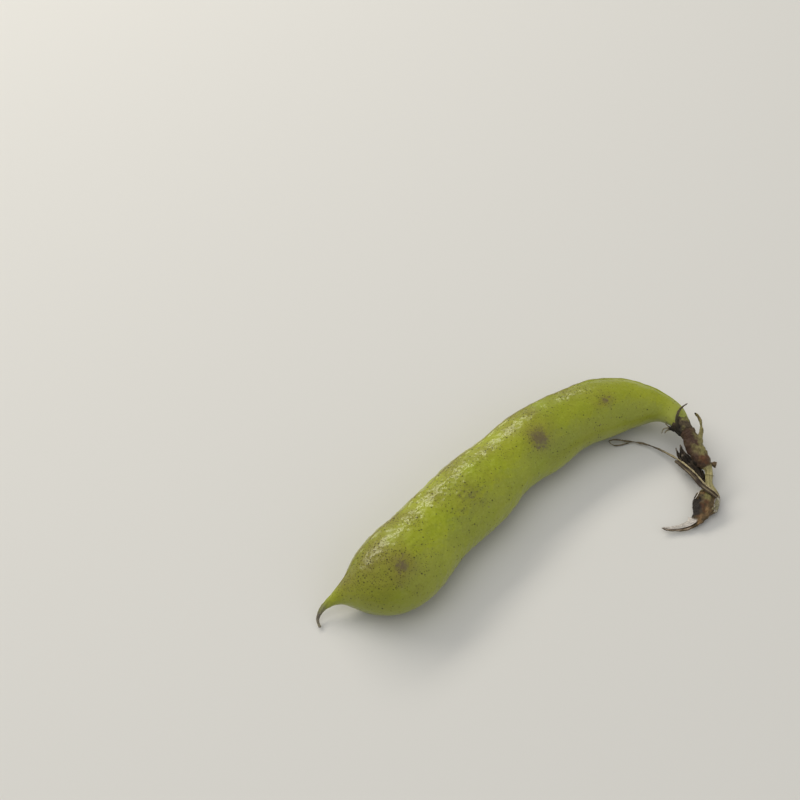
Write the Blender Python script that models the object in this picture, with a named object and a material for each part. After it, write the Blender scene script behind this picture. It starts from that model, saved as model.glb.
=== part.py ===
"""A broad bean pod as picked, lying on its flat side: the long bowed pod with its hooked dry
beak, the withered calyx round its neck, the stalk that ends in a torn heel, a withered flower
beside the stalk, and the dried tip of the flower stem. Metres, +Z up, resting on z = 0, with
the origin at the bottom centre of the whole part. The lengths below are millimetres, measured
from the root of the beak, with X along the pod towards its stalk and Y towards its bowed back.
"""

import math

import bmesh
import bpy
import numpy as np

MM = 0.001
CENTRE = (65.0, -4.4)  # the middle of the part's box, seen from above, from the beak's root
GAP = 0.35  # clearance between neighbouring pieces
SHORT_STEP = 0.05  # along a spine, to read its direction

# The pod from the tip of its beak to the end of its neck: x, y and height of its spine, half
# its width, and how far its section sits to the back (+) or the belly (-) of the spine.
POD_ROWS = (
    (-8.9, -3.6, 0.9, 0.45, 0.0),
    (-8.4, -1.3, 1.5, 0.6, 0.0),
    (-6.4, 0.3, 3.0, 0.9, -0.1),
    (-3.2, 0.7, 5.0, 1.5, -0.3),
    (0.3, 0.1, 6.6, 2.85, 0.0),
    (3.8, -0.8, 8.4, 5.7, -0.4),
    (7.5, -1.3, 9.8, 9.2, -1.6),
    (12.0, -1.2, 10.5, 11.8, -2.5),
    (18.0, -0.5, 10.8, 13.2, -2.7),
    (26.0, 1.0, 10.8, 13.4, -2.3),
    (36.0, 3.6, 10.5, 12.5, -1.1),
    (47.0, 6.4, 10.3, 12.7, -0.6),
    (57.0, 8.8, 10.3, 12.9, -0.3),
    (68.0, 11.8, 9.9, 11.6, 0.0),
    (78.0, 13.8, 9.5, 11.7, 0.5),
    (88.0, 15.1, 9.3, 12.0, 0.3),
    (100.0, 16.0, 9.1, 10.9, 0.5),
    (112.0, 14.9, 9.0, 10.7, 0.3),
    (119.0, 13.0, 9.0, 9.7, 0.2),
    (124.3, 10.4, 8.9, 8.2, 0.2),
    (128.2, 7.7, 8.8, 6.6, 0.1),
    (130.8, 4.6, 8.7, 5.1, 0.2),
    (132.1, 1.3, 8.6, 3.9, 0.3),
    (132.5, -1.6, 8.6, 3.2, 0.3),
    (132.5, -3.9, 8.5, 2.6, 0.1),
    (132.4, -6.2, 8.4, 2.2, 0.0),
)
POD_RINGS = 70
POD_SIDES = 36
RING_CROWDING = 0.25  # how much closer together the rings stand along the thin beak
POD_LEAN = 14.0  # degrees that the back edge is lifted above the belly edge
FLATNESS = 0.76  # thickness over width in the body of the pod
ROUNDING = 0.2  # how much rounder the thin ends are
ROUND_WIDTH = 3.0  # half width at which most of that rounding has gone
BEANS = (34.5, 66.0, 97.5, 126.0)  # places of the beans along the spine, from the beak's tip
BEAN_REACH = 9.5
BEAN_SWELL = 0.09
BEAN_WAIST = 0.95
SEAM_ANGLE = 27.0  # degrees round the section from its back edge, over the top
SEAM_HEIGHT = 0.4
SEAM_WIDTH = 0.08  # radians
SEAM_FADE = 6.0  # half width below which the seam sinks into the skin

# The calyx: how far it reaches up the neck from the neck's end, and its five teeth.
CALYX_REACH = 2.6
CALYX_WALL = 0.6
CALYX_TEETH = 5
TOOTH_LENGTH = 2.0
TOOTH_TURN = 0.5  # radians from the back edge to the first tooth
CALYX_SIDES = 40
# Its section, from the middle of its foot up the outside, over the rim and down the inside: the
# share of the reach up the neck, the distance past the neck's end, and the height over the skin.
CALYX_PROFILE = (
    (0.0, 1.2, -1.3),
    (0.0, 1.2, -0.35),
    (0.0, 0.85, 0.35),
    (0.0, 0.0, GAP + CALYX_WALL),
    (0.25, 0.0, GAP + CALYX_WALL),
    (0.5, 0.0, GAP + CALYX_WALL),
    (0.75, 0.0, GAP + CALYX_WALL),
    (1.0, 0.0, GAP + 0.5),
    (1.0, 0.0, GAP + 0.05),
    (0.7, 0.0, GAP),
    (0.4, 0.0, GAP),
    (0.0, 0.0, GAP),
    (0.0, GAP, 0.2),
    (0.0, GAP, -1.4),
)
# One long tooth lies over the neck and curls away behind it, and a thread hangs on the belly side.
LONG_TOOTH_ROWS = (
    (130.2, -4.9, 9.6, 0.5, 0.35, 0),
    (130.8, -3.4, 11.2, 0.6, 0.35, 0),
    (132.2, -2.1, 12.2, 0.55, 0.35, 0),
    (134.1, -1.1, 12.4, 0.5, 0.35, 0),
    (135.9, -0.7, 12.6, 0.4, 0.35, 0),
    (137.7, -0.7, 12.9, 0.3, 0.3, 0),
)
THREAD_ROWS = (
    (129.8, -5.4, 7.4, 0.4, 0.4, 0),
    (128.3, -4.0, 6.9, 0.35, 0.35, 0),
    (127.2, -3.3, 6.1, 0.35, 0.35, 0),
    (126.6, -3.4, 5.2, 0.35, 0.35, 0),
)

# The stalk from the calyx down to the heel where it was torn off, and on along the strip of
# skin that came away with it: x, y, z, half width, half height and twist in degrees.
STALK_ROWS = (
    (132.4, -7.75, 8.3, 2.3, 2.3, 0),
    (131.7, -10.8, 8.0, 2.6, 2.5, 0),
    (131.0, -13.1, 7.8, 2.75, 2.5, 0),
    (130.5, -15.9, 7.4, 2.85, 2.6, 0),
    (130.0, -18.4, 6.9, 2.9, 2.6, 0),
    (130.0, -20.4, 6.5, 2.4, 2.3, 0),
    (130.1, -21.8, 6.2, 1.6, 1.6, 0),
    (129.7, -23.3, 5.7, 1.2, 1.2, 0),
    (128.4, -25.1, 5.0, 1.15, 1.15, 0),
    (127.1, -26.9, 4.2, 1.3, 1.2, 0),
    (126.0, -28.5, 3.4, 2.8, 1.9, 0),
    (124.3, -30.1, 2.7, 4.1, 2.6, 0),
    (122.0, -31.2, 2.4, 4.3, 2.6, 0),
    (119.8, -32.5, 2.1, 3.3, 2.3, 0),
    (117.0, -34.1, 2.0, 2.0, 1.5, -10),
    (113.8, -34.7, 1.7, 1.6, 0.8, -20),
    (110.7, -34.2, 1.5, 1.4, 0.5, -25),
    (107.3, -32.9, 1.4, 0.95, 0.45, -20),
    (104.0, -30.8, 1.7, 0.4, 0.4, -10),
)
TORN_FACE_POINT = (125.1, -34.0, 3.0)
TORN_FACE_NORMAL = (0.42, -0.72, 0.55)

# The green bract that stands up like a horn beside the pedicel.
HORN_ROWS = (
    (131.0, -14.8, 7.4, 1.6, 1.5, 0),
    (133.9, -12.7, 7.6, 1.35, 0.9, 0),
    (135.8, -11.0, 8.0, 1.0, 0.7, 0),
    (137.5, -9.3, 8.6, 0.65, 0.5, 0),
    (138.6, -7.1, 9.4, 0.6, 0.45, 0),
    (138.8, -5.4, 10.2, 0.5, 0.4, 0),
    (138.3, -4.1, 10.9, 0.3, 0.3, 0),
)
# The stub of a fallen flower on the knuckle, and the scar of another on the heel.
STUB_ROWS = (
    (130.4, -20.6, 6.6, 1.0, 1.0, 0),
    (131.6, -21.6, 6.7, 0.75, 0.75, 0),
    (132.3, -22.5, 6.8, 1.0, 1.0, 0),
    (132.8, -23.1, 6.8, 0.9, 0.9, 0),
)
SCAR_ROWS = (
    (122.6, -30.4, 3.0, 1.8, 1.6, 0),
    (121.7, -29.0, 3.5, 1.6, 1.4, 0),
    (121.0, -27.8, 3.8, 1.5, 1.3, 0),
)

# The withered flower: a crumpled body, two prongs and a hanging lobe.
FLOWER_BODY = (
    (127.4, -23.6, 3.4, 0.7, 0.5, 0),
    (127.6, -21.2, 3.5, 1.4, 0.8, 10),
    (127.7, -18.2, 3.7, 1.8, 0.9, 20),
    (127.5, -15.2, 4.0, 1.9, 0.8, 10),
    (127.8, -12.8, 4.7, 1.1, 0.6, 0),
    (128.2, -10.9, 5.4, 0.45, 0.4, 0),
    (128.4, -9.8, 6.0, 0.35, 0.35, 0),
)
FLOWER_PRONG = (
    (127.3, -15.4, 3.8, 1.3, 0.6, 0),
    (126.6, -12.6, 3.9, 0.8, 0.5, 0),
    (126.6, -10.9, 4.5, 0.4, 0.4, 0),
    (127.0, -9.7, 5.1, 0.35, 0.35, 0),
)
FLOWER_LOBE = (
    (128.2, -18.8, 3.3, 1.5, 0.7, 0),
    (128.2, -21.4, 2.9, 2.1, 0.8, 0),
    (128.2, -24.0, 2.6, 1.6, 0.6, 0),
    (128.2, -26.0, 2.4, 0.6, 0.4, 0),
)

# The dried tip of the flower stem: a flat strap that leaves the heel and thins to a thread.
STEM_TIP_ROWS = (
    (125.5, -32.6, 5.9, 0.9, 0.45, 0),
    (124.9, -30.4, 6.4, 0.9, 0.45, 0),
    (124.1, -27.0, 6.1, 0.9, 0.45, 0),
    (124.1, -21.7, 5.3, 0.9, 0.45, 0),
    (124.5, -16.9, 4.2, 0.8, 0.45, 0),
    (125.1, -12.4, 3.0, 0.6, 0.45, 0),
    (124.3, -7.4, 1.8, 0.45, 0.4, 0),
    (122.2, -2.5, 1.2, 0.4, 0.4, 0),
    (119.1, 1.2, 0.9, 0.4, 0.4, 0),
    (114.8, 4.2, 1.2, 0.4, 0.35, 0),
    (110.8, 5.7, 2.1, 0.35, 0.35, 0),
)

GREEN = (0.36, 0.47, 0.07)
DRIED_BROWN = (0.20, 0.15, 0.10)
STALK_OLIVE = (0.28, 0.24, 0.09)
DARK_BROWN = (0.06, 0.05, 0.04)
STRAW = (0.30, 0.25, 0.17)


def clear_scene():
    for thing in list(bpy.data.objects):
        bpy.data.objects.remove(thing)


def material(name, colour, roughness):
    made = bpy.data.materials.new(name)
    made.use_nodes = True
    shader = made.node_tree.nodes["Principled BSDF"]
    shader.inputs["Base Color"].default_value = (*colour, 1.0)
    shader.inputs["Roughness"].default_value = roughness
    shader.inputs["Metallic"].default_value = 0.0
    return made


def smooth(knots, rows, places):
    """The natural cubic curve through the rows, one row a knot, read at the places given."""
    gap = np.diff(knots)[:, None]
    slope = np.diff(rows, axis=0) / gap
    middle = np.diag(2 * (gap[:-1, 0] + gap[1:, 0]))
    beside = np.diag(gap[1:-1, 0], 1)
    bend = np.zeros_like(rows)
    bend[1:-1] = np.linalg.solve(middle + beside + beside.T, 6 * np.diff(slope, axis=0))
    i = np.clip(np.searchsorted(knots, places, side="right") - 1, 0, len(knots) - 2)
    past = (places - knots[i])[:, None]
    tilt = slope[i] - gap[i] * (2 * bend[i] + bend[i + 1]) / 6
    curl = (bend[i + 1] - bend[i]) / (6 * gap[i])
    return rows[i] + past * (tilt + past * (bend[i] / 2 + past * curl))


def knots_of(rows):
    """How far along the chords from point to point each row lies, in millimetres."""
    steps = np.linalg.norm(np.diff(rows[:, :3], axis=0), axis=1)
    return np.concatenate([[0.0], np.cumsum(steps)])


def unit(vectors):
    return vectors / np.linalg.norm(vectors, axis=-1, keepdims=True)


def pressed(points, place, normal):
    """The points with those past a plane moved back on to it."""
    normal = unit(np.array(normal, float))
    past = np.maximum((points - np.array(place, float)) @ normal, 0.0)
    return points - past[..., None] * normal


def pod_surface(along, turn, grow=0.0):
    """Points of the pod's skin, moved out by grow, at distances along the spine from the
    beak's tip and at angles round the section from the back edge, over the top. A section is
    an ellipse that leans back, is thicker at a bean, and has a ridge at each of its seams."""
    rows = np.array(POD_ROWS)
    knots = knots_of(rows)
    inside = np.clip(along, 0.0, knots[-1])
    here = smooth(knots, rows, inside)
    ahead = smooth(knots, rows, np.minimum(inside + SHORT_STEP, knots[-1]))
    behind = smooth(knots, rows, np.maximum(inside - SHORT_STEP, 0.0))
    forward = ahead[:, :3] - behind[:, :3]
    forward[:, 2] = 0.0
    forward = unit(forward)
    centre = here[:, :3] + (along - inside)[:, None] * forward
    sideways = np.stack([-forward[:, 1], forward[:, 0], np.zeros(len(forward))], axis=1)
    upward = np.array([0.0, 0.0, 1.0])
    lean = math.radians(POD_LEAN)
    wide = math.cos(lean) * sideways + math.sin(lean) * upward
    thick = -math.sin(lean) * sideways + math.cos(lean) * upward

    half_width = here[:, 3]
    swell = sum(np.exp(-(((along - bean) / BEAN_REACH) ** 2)) for bean in BEANS)
    flatness = FLATNESS + ROUNDING * np.exp(-half_width / ROUND_WIDTH)
    half_thick = half_width * flatness * (BEAN_WAIST + BEAN_SWELL * swell)
    seam = np.exp(-((np.sin(turn - math.radians(SEAM_ANGLE)) / SEAM_WIDTH) ** 2))
    ridge = SEAM_HEIGHT * np.minimum(half_width / SEAM_FADE, 1.0)[:, None] * seam
    across = (half_width + grow)[:, None] * np.cos(turn)
    over = (half_thick + grow)[:, None] * np.sin(turn)
    across = across + ridge * np.cos(turn) + here[:, 4:5]
    over = over + ridge * np.sin(turn)
    points = centre[:, None] + across[..., None] * wide[:, None] + over[..., None] * thick[:, None]
    return pressed(points, (0, 0, 0), (0, 0, -1))


def pod_length():
    return knots_of(np.array(POD_ROWS))[-1]


def ring_angles(sides, start=0.0):
    return start + np.arange(sides) * 2 * math.pi / sides


def pod_grid():
    """Rings from the beak's tip to the neck's end, closer together along the thin beak."""
    share = np.linspace(0.0, 1.0, POD_RINGS)
    along = pod_length() * (share + RING_CROWDING * (share**2.2 - share))
    return pod_surface(along, ring_angles(POD_SIDES, math.radians(SEAM_ANGLE)))


def calyx_grid():
    """Rings round the neck, one for each row of the profile. The rim runs up the neck by the
    reach, and by a tooth more wherever a wave round the neck crests."""
    turn = ring_angles(CALYX_SIDES)
    wave = np.abs(np.cos(CALYX_TEETH / 2 * (turn - TOOTH_TURN))) ** 3
    reach = CALYX_REACH + TOOTH_LENGTH * wave
    end = pod_length()
    return np.array([
        calyx_ring(end + past - share * reach, turn, height)
        for share, past, height in CALYX_PROFILE
    ])


def calyx_ring(along, turn, grow):
    """One ring of the cup, where along may differ from side to side of the ring."""
    places = np.broadcast_to(along, turn.shape)
    whole = pod_surface(places, turn, grow)
    return whole[np.arange(len(turn)), np.arange(len(turn))]


def swept_grid(rows, rings, sides):
    """Elliptical rings along the curve through the rows, each lying level but for its twist."""
    rows = np.array(rows, float)
    knots = knots_of(rows)
    places = np.linspace(0.0, knots[-1], rings)
    here = smooth(knots, rows, places)
    forward = unit(np.gradient(here[:, :3], places, axis=0))
    level = unit(np.cross([0.0, 0.0, 1.0], forward))
    upright = np.cross(forward, level)
    twist = np.radians(here[:, 5:6])
    wide = np.cos(twist) * level + np.sin(twist) * upright
    high = np.cos(twist) * upright - np.sin(twist) * level
    turn = ring_angles(sides)
    across = here[:, 3:4] * np.cos(turn)
    over = here[:, 4:5] * np.sin(turn)
    return here[:, None, :3] + across[..., None] * wide[:, None] + over[..., None] * high[:, None]


def stalk_grid():
    grid = swept_grid(STALK_ROWS, rings=64, sides=16)
    heel = len(grid) // 2
    grid[heel:] = pressed(grid[heel:], TORN_FACE_POINT, TORN_FACE_NORMAL)
    return pressed(grid, (0, 0, 0), (0, 0, -1))


def solid(name, grid, finish):
    """One closed body skinned over the rings of a grid, with a cap on its first and last."""
    placed = (grid - np.array([CENTRE[0], CENTRE[1], 0.0])) * MM
    rings, sides = placed.shape[:2]
    shape = bmesh.new()
    corners = [shape.verts.new(point) for point in placed.reshape(-1, 3)]
    for ring in range(rings - 1):
        for side in range(sides):
            a, b = ring * sides + side, ring * sides + (side + 1) % sides
            shape.faces.new([corners[k] for k in (a, b, b + sides, a + sides)])
    shape.faces.new(corners[:sides][::-1])
    shape.faces.new(corners[-sides:])
    bmesh.ops.recalc_face_normals(shape, faces=shape.faces)
    mesh = bpy.data.meshes.new(name)
    shape.to_mesh(mesh)
    shape.free()
    mesh.shade_smooth()
    mesh.materials.append(finish)
    body = bpy.data.objects.new(name, mesh)
    bpy.context.scene.collection.objects.link(body)
    return body


def fuse(body, extras):
    """Joins the extra bodies to the first in one closed solid, and removes them."""
    group = bpy.data.collections.new(body.name + " extras")
    bpy.context.scene.collection.children.link(group)
    for extra in extras:
        group.objects.link(extra)
        bpy.context.scene.collection.objects.unlink(extra)
    union = body.modifiers.new("Union", "BOOLEAN")
    union.operation = "UNION"
    union.operand_type = "COLLECTION"
    union.collection = group
    union.solver = "EXACT"
    graph = bpy.context.evaluated_depsgraph_get()
    joined = bpy.data.meshes.new_from_object(body.evaluated_get(graph))
    body.modifiers.remove(union)
    body.data = joined
    for extra in extras:
        bpy.data.objects.remove(extra)
    bpy.data.collections.remove(group)


def make_pod():
    return solid("pod", pod_grid(), material("Fresh green pod", GREEN, 0.35))


def make_calyx():
    finish = material("Withered calyx", DRIED_BROWN, 0.8)
    cup = solid("calyx", calyx_grid(), finish)
    tooth = solid("tooth", swept_grid(LONG_TOOTH_ROWS, rings=16, sides=8), finish)
    thread = solid("thread", swept_grid(THREAD_ROWS, rings=8, sides=8), finish)
    fuse(cup, [tooth, thread])


def make_stalk():
    finish = material("Green stalk", STALK_OLIVE, 0.6)
    stalk = solid("stalk", stalk_grid(), finish)
    horn = solid("horn", swept_grid(HORN_ROWS, rings=14, sides=10), finish)
    stub = solid("stub", swept_grid(STUB_ROWS, rings=7, sides=10), finish)
    scar = solid("scar", swept_grid(SCAR_ROWS, rings=5, sides=12), finish)
    fuse(stalk, [horn, stub, scar])


def make_withered_flower():
    finish = material("Withered flower", DARK_BROWN, 0.85)
    body = solid("withered_flower", swept_grid(FLOWER_BODY, rings=18, sides=10), finish)
    prong = solid("prong", swept_grid(FLOWER_PRONG, rings=12, sides=8), finish)
    lobe = solid("lobe", swept_grid(FLOWER_LOBE, rings=10, sides=8), finish)
    fuse(body, [prong, lobe])


def make_stem_tip():
    strap = swept_grid(STEM_TIP_ROWS, rings=40, sides=8)
    solid("dried_stem_tip", strap, material("Dry straw", STRAW, 0.75))


def main():
    clear_scene()
    make_pod()
    make_calyx()
    make_stalk()
    make_withered_flower()
    make_stem_tip()


main()
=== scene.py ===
# %% [markdown]
# # A broad bean pod, as picked
#
# This notebook dresses a plain solid model of one broad bean pod. The solids give every size and
# place. Each of them is replaced here by a finer surface in the same place, with the skin, specks,
# wrinkles and torn fibres that the real thing has. The pod lies on a pale table, and its beak
# points to the left. Lengths in the tables are millimetres, measured from the root of the beak,
# with X along the pod towards its stalk, Y towards its bowed back and Z up.

import math

import bpy
import numpy as np
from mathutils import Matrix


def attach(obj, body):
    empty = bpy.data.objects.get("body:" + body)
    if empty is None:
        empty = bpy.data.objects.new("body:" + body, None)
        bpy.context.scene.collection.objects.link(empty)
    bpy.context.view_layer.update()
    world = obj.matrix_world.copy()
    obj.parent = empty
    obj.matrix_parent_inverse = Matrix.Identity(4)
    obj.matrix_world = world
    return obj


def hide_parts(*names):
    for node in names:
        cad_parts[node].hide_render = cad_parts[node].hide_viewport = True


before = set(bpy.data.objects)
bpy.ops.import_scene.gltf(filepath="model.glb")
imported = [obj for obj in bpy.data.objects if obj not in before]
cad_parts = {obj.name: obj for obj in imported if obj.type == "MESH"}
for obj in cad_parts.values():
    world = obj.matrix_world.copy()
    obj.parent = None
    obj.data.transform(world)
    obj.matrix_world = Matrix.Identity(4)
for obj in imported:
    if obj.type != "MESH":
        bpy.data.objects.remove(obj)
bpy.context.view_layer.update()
MM = 0.001
CENTRE = np.array([65.0, -4.4, 0.0])  # the frame's origin, measured from the beak's root
print("solids:", ", ".join(sorted(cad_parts)))

# %% [markdown]
# ## The camera
#
# A camera that is placed first shows every later step from the right side. It could be turned by
# hand, but three numbers say it more clearly: the point on the table that it looks at, how high
# it stands above the horizon, and how far it is away. The pod lies flat, so the camera looks down
# on it from in front of the beak's side.

# %% Place the camera
LOOK_AT = np.array([-6.15, 64.9, 0.0]) * MM  # on the table, from the frame's origin
CAMERA_DISTANCE = 400 * MM
CAMERA_ELEVATION = math.radians(52.0)
CAMERA_TURN = math.radians(-31.2)  # from looking straight along +Y
LENS = 50.0


def put_in_scene(name, data):
    """A new object in the scene that shows the data, be it a camera, a mesh or a lamp."""
    made = bpy.data.objects.new(name, data)
    bpy.context.scene.collection.objects.link(made)
    return made


def place_camera():
    """Stands the camera on a sphere round the point it looks at: back along its own line of sight
    by the distance, with the turn and the elevation as the two angles of that line."""
    flat = math.cos(CAMERA_ELEVATION)
    back = np.array([
        math.sin(CAMERA_TURN) * flat,
        -math.cos(CAMERA_TURN) * flat,
        math.sin(CAMERA_ELEVATION),
    ])
    camera = put_in_scene("camera", bpy.data.cameras.new("camera"))
    camera.data.lens = LENS
    camera.data.clip_start = 10 * MM
    camera.location = LOOK_AT + CAMERA_DISTANCE * back
    camera.rotation_euler = (math.pi / 2 - CAMERA_ELEVATION, 0.0, CAMERA_TURN)
    bpy.context.scene.camera = camera
    return camera


print("camera at", [round(x, 3) for x in place_camera().location])

# %% [markdown]
# ## Tools for smooth shapes
#
# Everything that grew on this pod is a tube whose width changes along a bent line. So two tools
# make nearly all of it: a smooth curve through a few rows of numbers, and a field of random lumps
# that never repeats. Both work on whole arrays at once, which is far faster than a loop.

# %% A smooth curve through rows of numbers
def knots_of(rows):
    """How far along the straight lines from point to point each row lies."""
    steps = np.linalg.norm(np.diff(rows[:, :3], axis=0), axis=1)
    return np.concatenate([[0.0], np.cumsum(steps)])


def smooth(knots, rows, places):
    """The natural cubic curve through the rows, one row a knot, read at the places given. Between
    two knots each number is a cubic, and the cubics meet with the same slope and the same bend."""
    gap = np.diff(knots)[:, None]
    slope = np.diff(rows, axis=0) / gap
    middle = np.diag(2 * (gap[:-1, 0] + gap[1:, 0]))
    beside = np.diag(gap[1:-1, 0], 1)
    bend = np.zeros_like(rows)
    bend[1:-1] = np.linalg.solve(middle + beside + beside.T, 6 * np.diff(slope, axis=0))
    i = np.clip(np.searchsorted(knots, places, side="right") - 1, 0, len(knots) - 2)
    past = (places - knots[i])[..., None]
    tilt = slope[i] - gap[i] * (2 * bend[i] + bend[i + 1]) / 6
    curl = (bend[i + 1] - bend[i]) / (6 * gap[i])
    return rows[i] + past * (tilt + past * (bend[i] / 2 + past * curl))


def unit(vectors):
    """Each vector divided by its own length."""
    return vectors / np.linalg.norm(vectors, axis=-1, keepdims=True)


def angles_round(sides):
    """The angles of that many equal steps round a ring."""
    return np.arange(sides) * 2 * math.pi / sides


hill = smooth(np.arange(3.0), np.array([[0.0], [1.0], [0.0]]), np.array([0.5, 1.5]))
print("halfway between the points of the curve through 0, 1 and 0:", hill.ravel())

# %% [markdown]
# Nothing that grew is quite smooth. Blender's own noise functions take one point at a time, which
# is slow in Python. Worked out here on whole arrays, the same lumps serve for shapes and for masks.

# %% Random lumps and soft steps
RANDOMS = 512  # how many random numbers the lumps are made from
ASLANT = np.linalg.qr(np.random.default_rng(1).normal(size=(3, 3)))[0]  # any fixed rotation


def lumps(points, size, seed):
    """Smooth random heights from -1 to 1. Random numbers stand on the corners of a grid of cubes
    of the given size, and a point takes a soft blend of the eight corners round it. The grid is
    turned aslant, so that its rows never line up with the pod."""
    draw = np.random.default_rng(seed)
    shuffle = draw.permutation(RANDOMS)
    heights = draw.uniform(-1.0, 1.0, RANDOMS)
    cell = np.asarray(points, float) @ ASLANT / size
    low = np.floor(cell).astype(int)
    part = cell - low
    part = part * part * (3 - 2 * part)
    total = 0.0
    for corner in np.ndindex(2, 2, 2):
        x, y, z = np.moveaxis(low + corner, -1, 0) % RANDOMS
        found = shuffle[(shuffle[(shuffle[x] + y) % RANDOMS] + z) % RANDOMS]
        share = np.prod(np.where(corner, part, 1 - part), axis=-1)
        total = total + share * heights[found]
    return total


def layered(points, sizes, seed=0):
    """Lumps of several sizes on top of each other: the sum of each size's, times its height."""
    return sum(height * lumps(points, size, seed + k) for k, (size, height) in enumerate(sizes))


def soft_step(value, low, high):
    """0 below low, 1 above high, and a smooth S between them. It also works with low over high."""
    share = np.clip((value - low) / (high - low), 0.0, 1.0)
    return share * share * (3 - 2 * share)


def bump_at(value, middle, reach):
    """A bell: 1 in the middle, about a third at the reach and next to nothing at twice that."""
    return np.exp(-(((value - middle) / reach) ** 2))


print("lumps at three points:", lumps(np.eye(3) * 4.2, 2.0, 1).round(2))

# %% [markdown]
# ## From a grid of points to a mesh
#
# A surface of two parameters is a grid of points: one parameter counts the rings and the other
# goes round each ring. Neighbouring points make the faces, so the faces need no thought at all.
# The same function gives the piece its UV map in metres, which lets a grain follow the surface,
# and keeps any number of marks on the points, which the materials read later.

# %% Faces of a grid
def quads_of(rings, sides, wrap):
    """The four corners of every square of neighbours in a grid, as numbers of its points, and
    the same corners counted in rings and sides, which give the UV map."""
    index = np.arange(rings * sides).reshape(rings, sides)
    beside = np.roll(index, -1, axis=1)
    used = slice(None) if wrap else slice(0, -1)
    quads = np.stack([index[:-1], beside[:-1], beside[1:], index[1:]], axis=-1)[:, used]
    ring, side = np.meshgrid(np.arange(rings - 1), np.arange(sides)[used], indexing="ij")
    ring = np.stack([ring, ring, ring + 1, ring + 1], axis=-1)
    side = np.stack([side, side + 1, side + 1, side], axis=-1)
    return quads.reshape(-1, 4), ring.reshape(-1), side.reshape(-1)


def fans_of(count, rings, sides):
    """The triangles that close both ends of each wrapped grid. They meet in a point in the middle
    of the end ring, and these points are numbered after all the grids' own, two to a grid."""
    here = np.arange(sides)
    beside = np.roll(here, -1)
    end = (rings - 1) * sides
    edges = np.array([[beside, here], [here + end, beside + end]])
    edges = edges + np.arange(count)[:, None, None, None] * rings * sides
    tips = count * rings * sides + np.arange(2 * count).reshape(count, 2, 1)
    tips = np.broadcast_to(tips, (count, 2, sides))
    return np.stack([tips, edges[:, :, 0], edges[:, :, 1]], axis=-1).reshape(-1, 3)


squares, triangles = quads_of(3, 4, True)[0], fans_of(1, 3, 4)
print("a wrapped grid of 3 by 4 points:", len(squares), "squares,", len(triangles), "triangles")

# %% From faces to a piece
def mesh_over(name, grids, wrap):
    """One mesh over grids of points in metres. The UV map is the distance along and the distance
    round, measured on the first grid, which stands for all. A wrapped grid is closed by fans, and
    it is turned inside out if its faces point in, which shows in the sign of its volume: the sum
    of the wedges from its middle to its faces."""
    count, rings, sides = grids.shape[:3]
    quads, ring, side = quads_of(rings, sides, wrap)
    steps = np.linalg.norm(np.diff(grids[0].mean(axis=1), axis=0), axis=1)
    along = np.concatenate([[0.0], np.cumsum(steps)])
    apart = np.linalg.norm(np.diff(grids[0], axis=1), axis=-1).mean()
    uv = np.tile(np.stack([along[ring], side * apart], axis=-1), (count, 1))
    starts = (np.arange(count) * rings * sides)[:, None, None]
    quads = (quads + starts).reshape(-1, 4)
    fans = np.empty((0, 3), int)
    points = grids.reshape(-1, 3)
    if wrap:
        fans = fans_of(count, rings, sides)
        points = np.concatenate([points, grids[:, [0, -1]].mean(axis=2).reshape(-1, 3)])
        uv = np.concatenate([uv, np.zeros((fans.size, 2))])
    mesh = bpy.data.meshes.new(name)
    mesh.from_pydata(points, [], quads.tolist() + fans.tolist())
    mesh.uv_layers.new(name="UVMap").data.foreach_set("uv", uv.ravel())
    wedge = points[np.concatenate([quads[:, :3], fans])] - points.mean(axis=0)
    if wrap and np.einsum("ij,ij->", wedge[:, 0], np.cross(wedge[:, 1], wedge[:, 2])) < 0:
        mesh.flip_normals()
    mesh.shade_smooth()
    return mesh


def skin(name, grids, finish, slot, stands_for, wrap=True, marks=None):
    """Makes a piece over one grid of points in mm, or over several alike, and keeps the marks on
    its points. The middle of a fan takes the mean of its ring."""
    placed = (grids.reshape(-1, *grids.shape[-3:]) - CENTRE) * MM
    mesh = mesh_over(name, placed, wrap)
    for mark, value in (marks or {}).items():
        spread = np.broadcast_to(value, placed.shape[:3])
        ends = spread[:, [0, -1]].mean(axis=2).ravel() if wrap else []
        values = np.concatenate([spread.ravel(), ends]).astype(np.float32)
        mesh.attributes.new(mark, "FLOAT", "POINT").data.foreach_set("value", values)
    mesh.materials.append(finish)
    piece = put_in_scene(name, mesh)
    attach(piece, "root")
    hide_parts(stands_for)
    size = np.ptp(placed.reshape(-1, 3), axis=0) / MM
    print(f"{name}: {len(mesh.polygons)} faces, {size.round(1)} mm")
    return piece


# %% [markdown]
# ## Tools for finishes
#
# Every finish below is a small tree of nodes. Writing a node as one call, with its links given
# by name or by number, keeps a tree readable. Numbers are used where names repeat. A Map Range
# node has 0 for the value, 1 and 2 for the range it comes from and 3 and 4 for the range it goes
# to. A Mix node has 0 for the mask and 6 and 7 for the colours, and gives the result as its output
# 2. A Math node has 0 to 2 for its terms. Colours are written as hex values, as a paint chart
# gives them, and one function turns them to the linear light that the renderer works in.

# %% Nodes and colours
def linear(hex_colour):
    """An sRGB hex colour as linear red, green, blue and alpha: each channel is undone from the
    screen's curve, which is a straight line near black and a power of 2.4 above it."""
    channels = [int(hex_colour[i : i + 2], 16) / 255 for i in (1, 3, 5)]
    return (*[c / 12.92 if c <= 0.04045 else ((c + 0.055) / 1.055) ** 2.4 for c in channels], 1.0)


def connect(tree, made, inputs):
    """Fills a node's inputs. Each is a plain value, an output of another node, or a whole node,
    which stands for its first output."""
    for socket, value in inputs.items():
        if isinstance(value, bpy.types.Node):
            value = value.outputs[0]
        if isinstance(value, bpy.types.NodeSocket):
            tree.links.new(value, made.inputs[socket])
        else:
            made.inputs[socket].default_value = value
    return made


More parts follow.
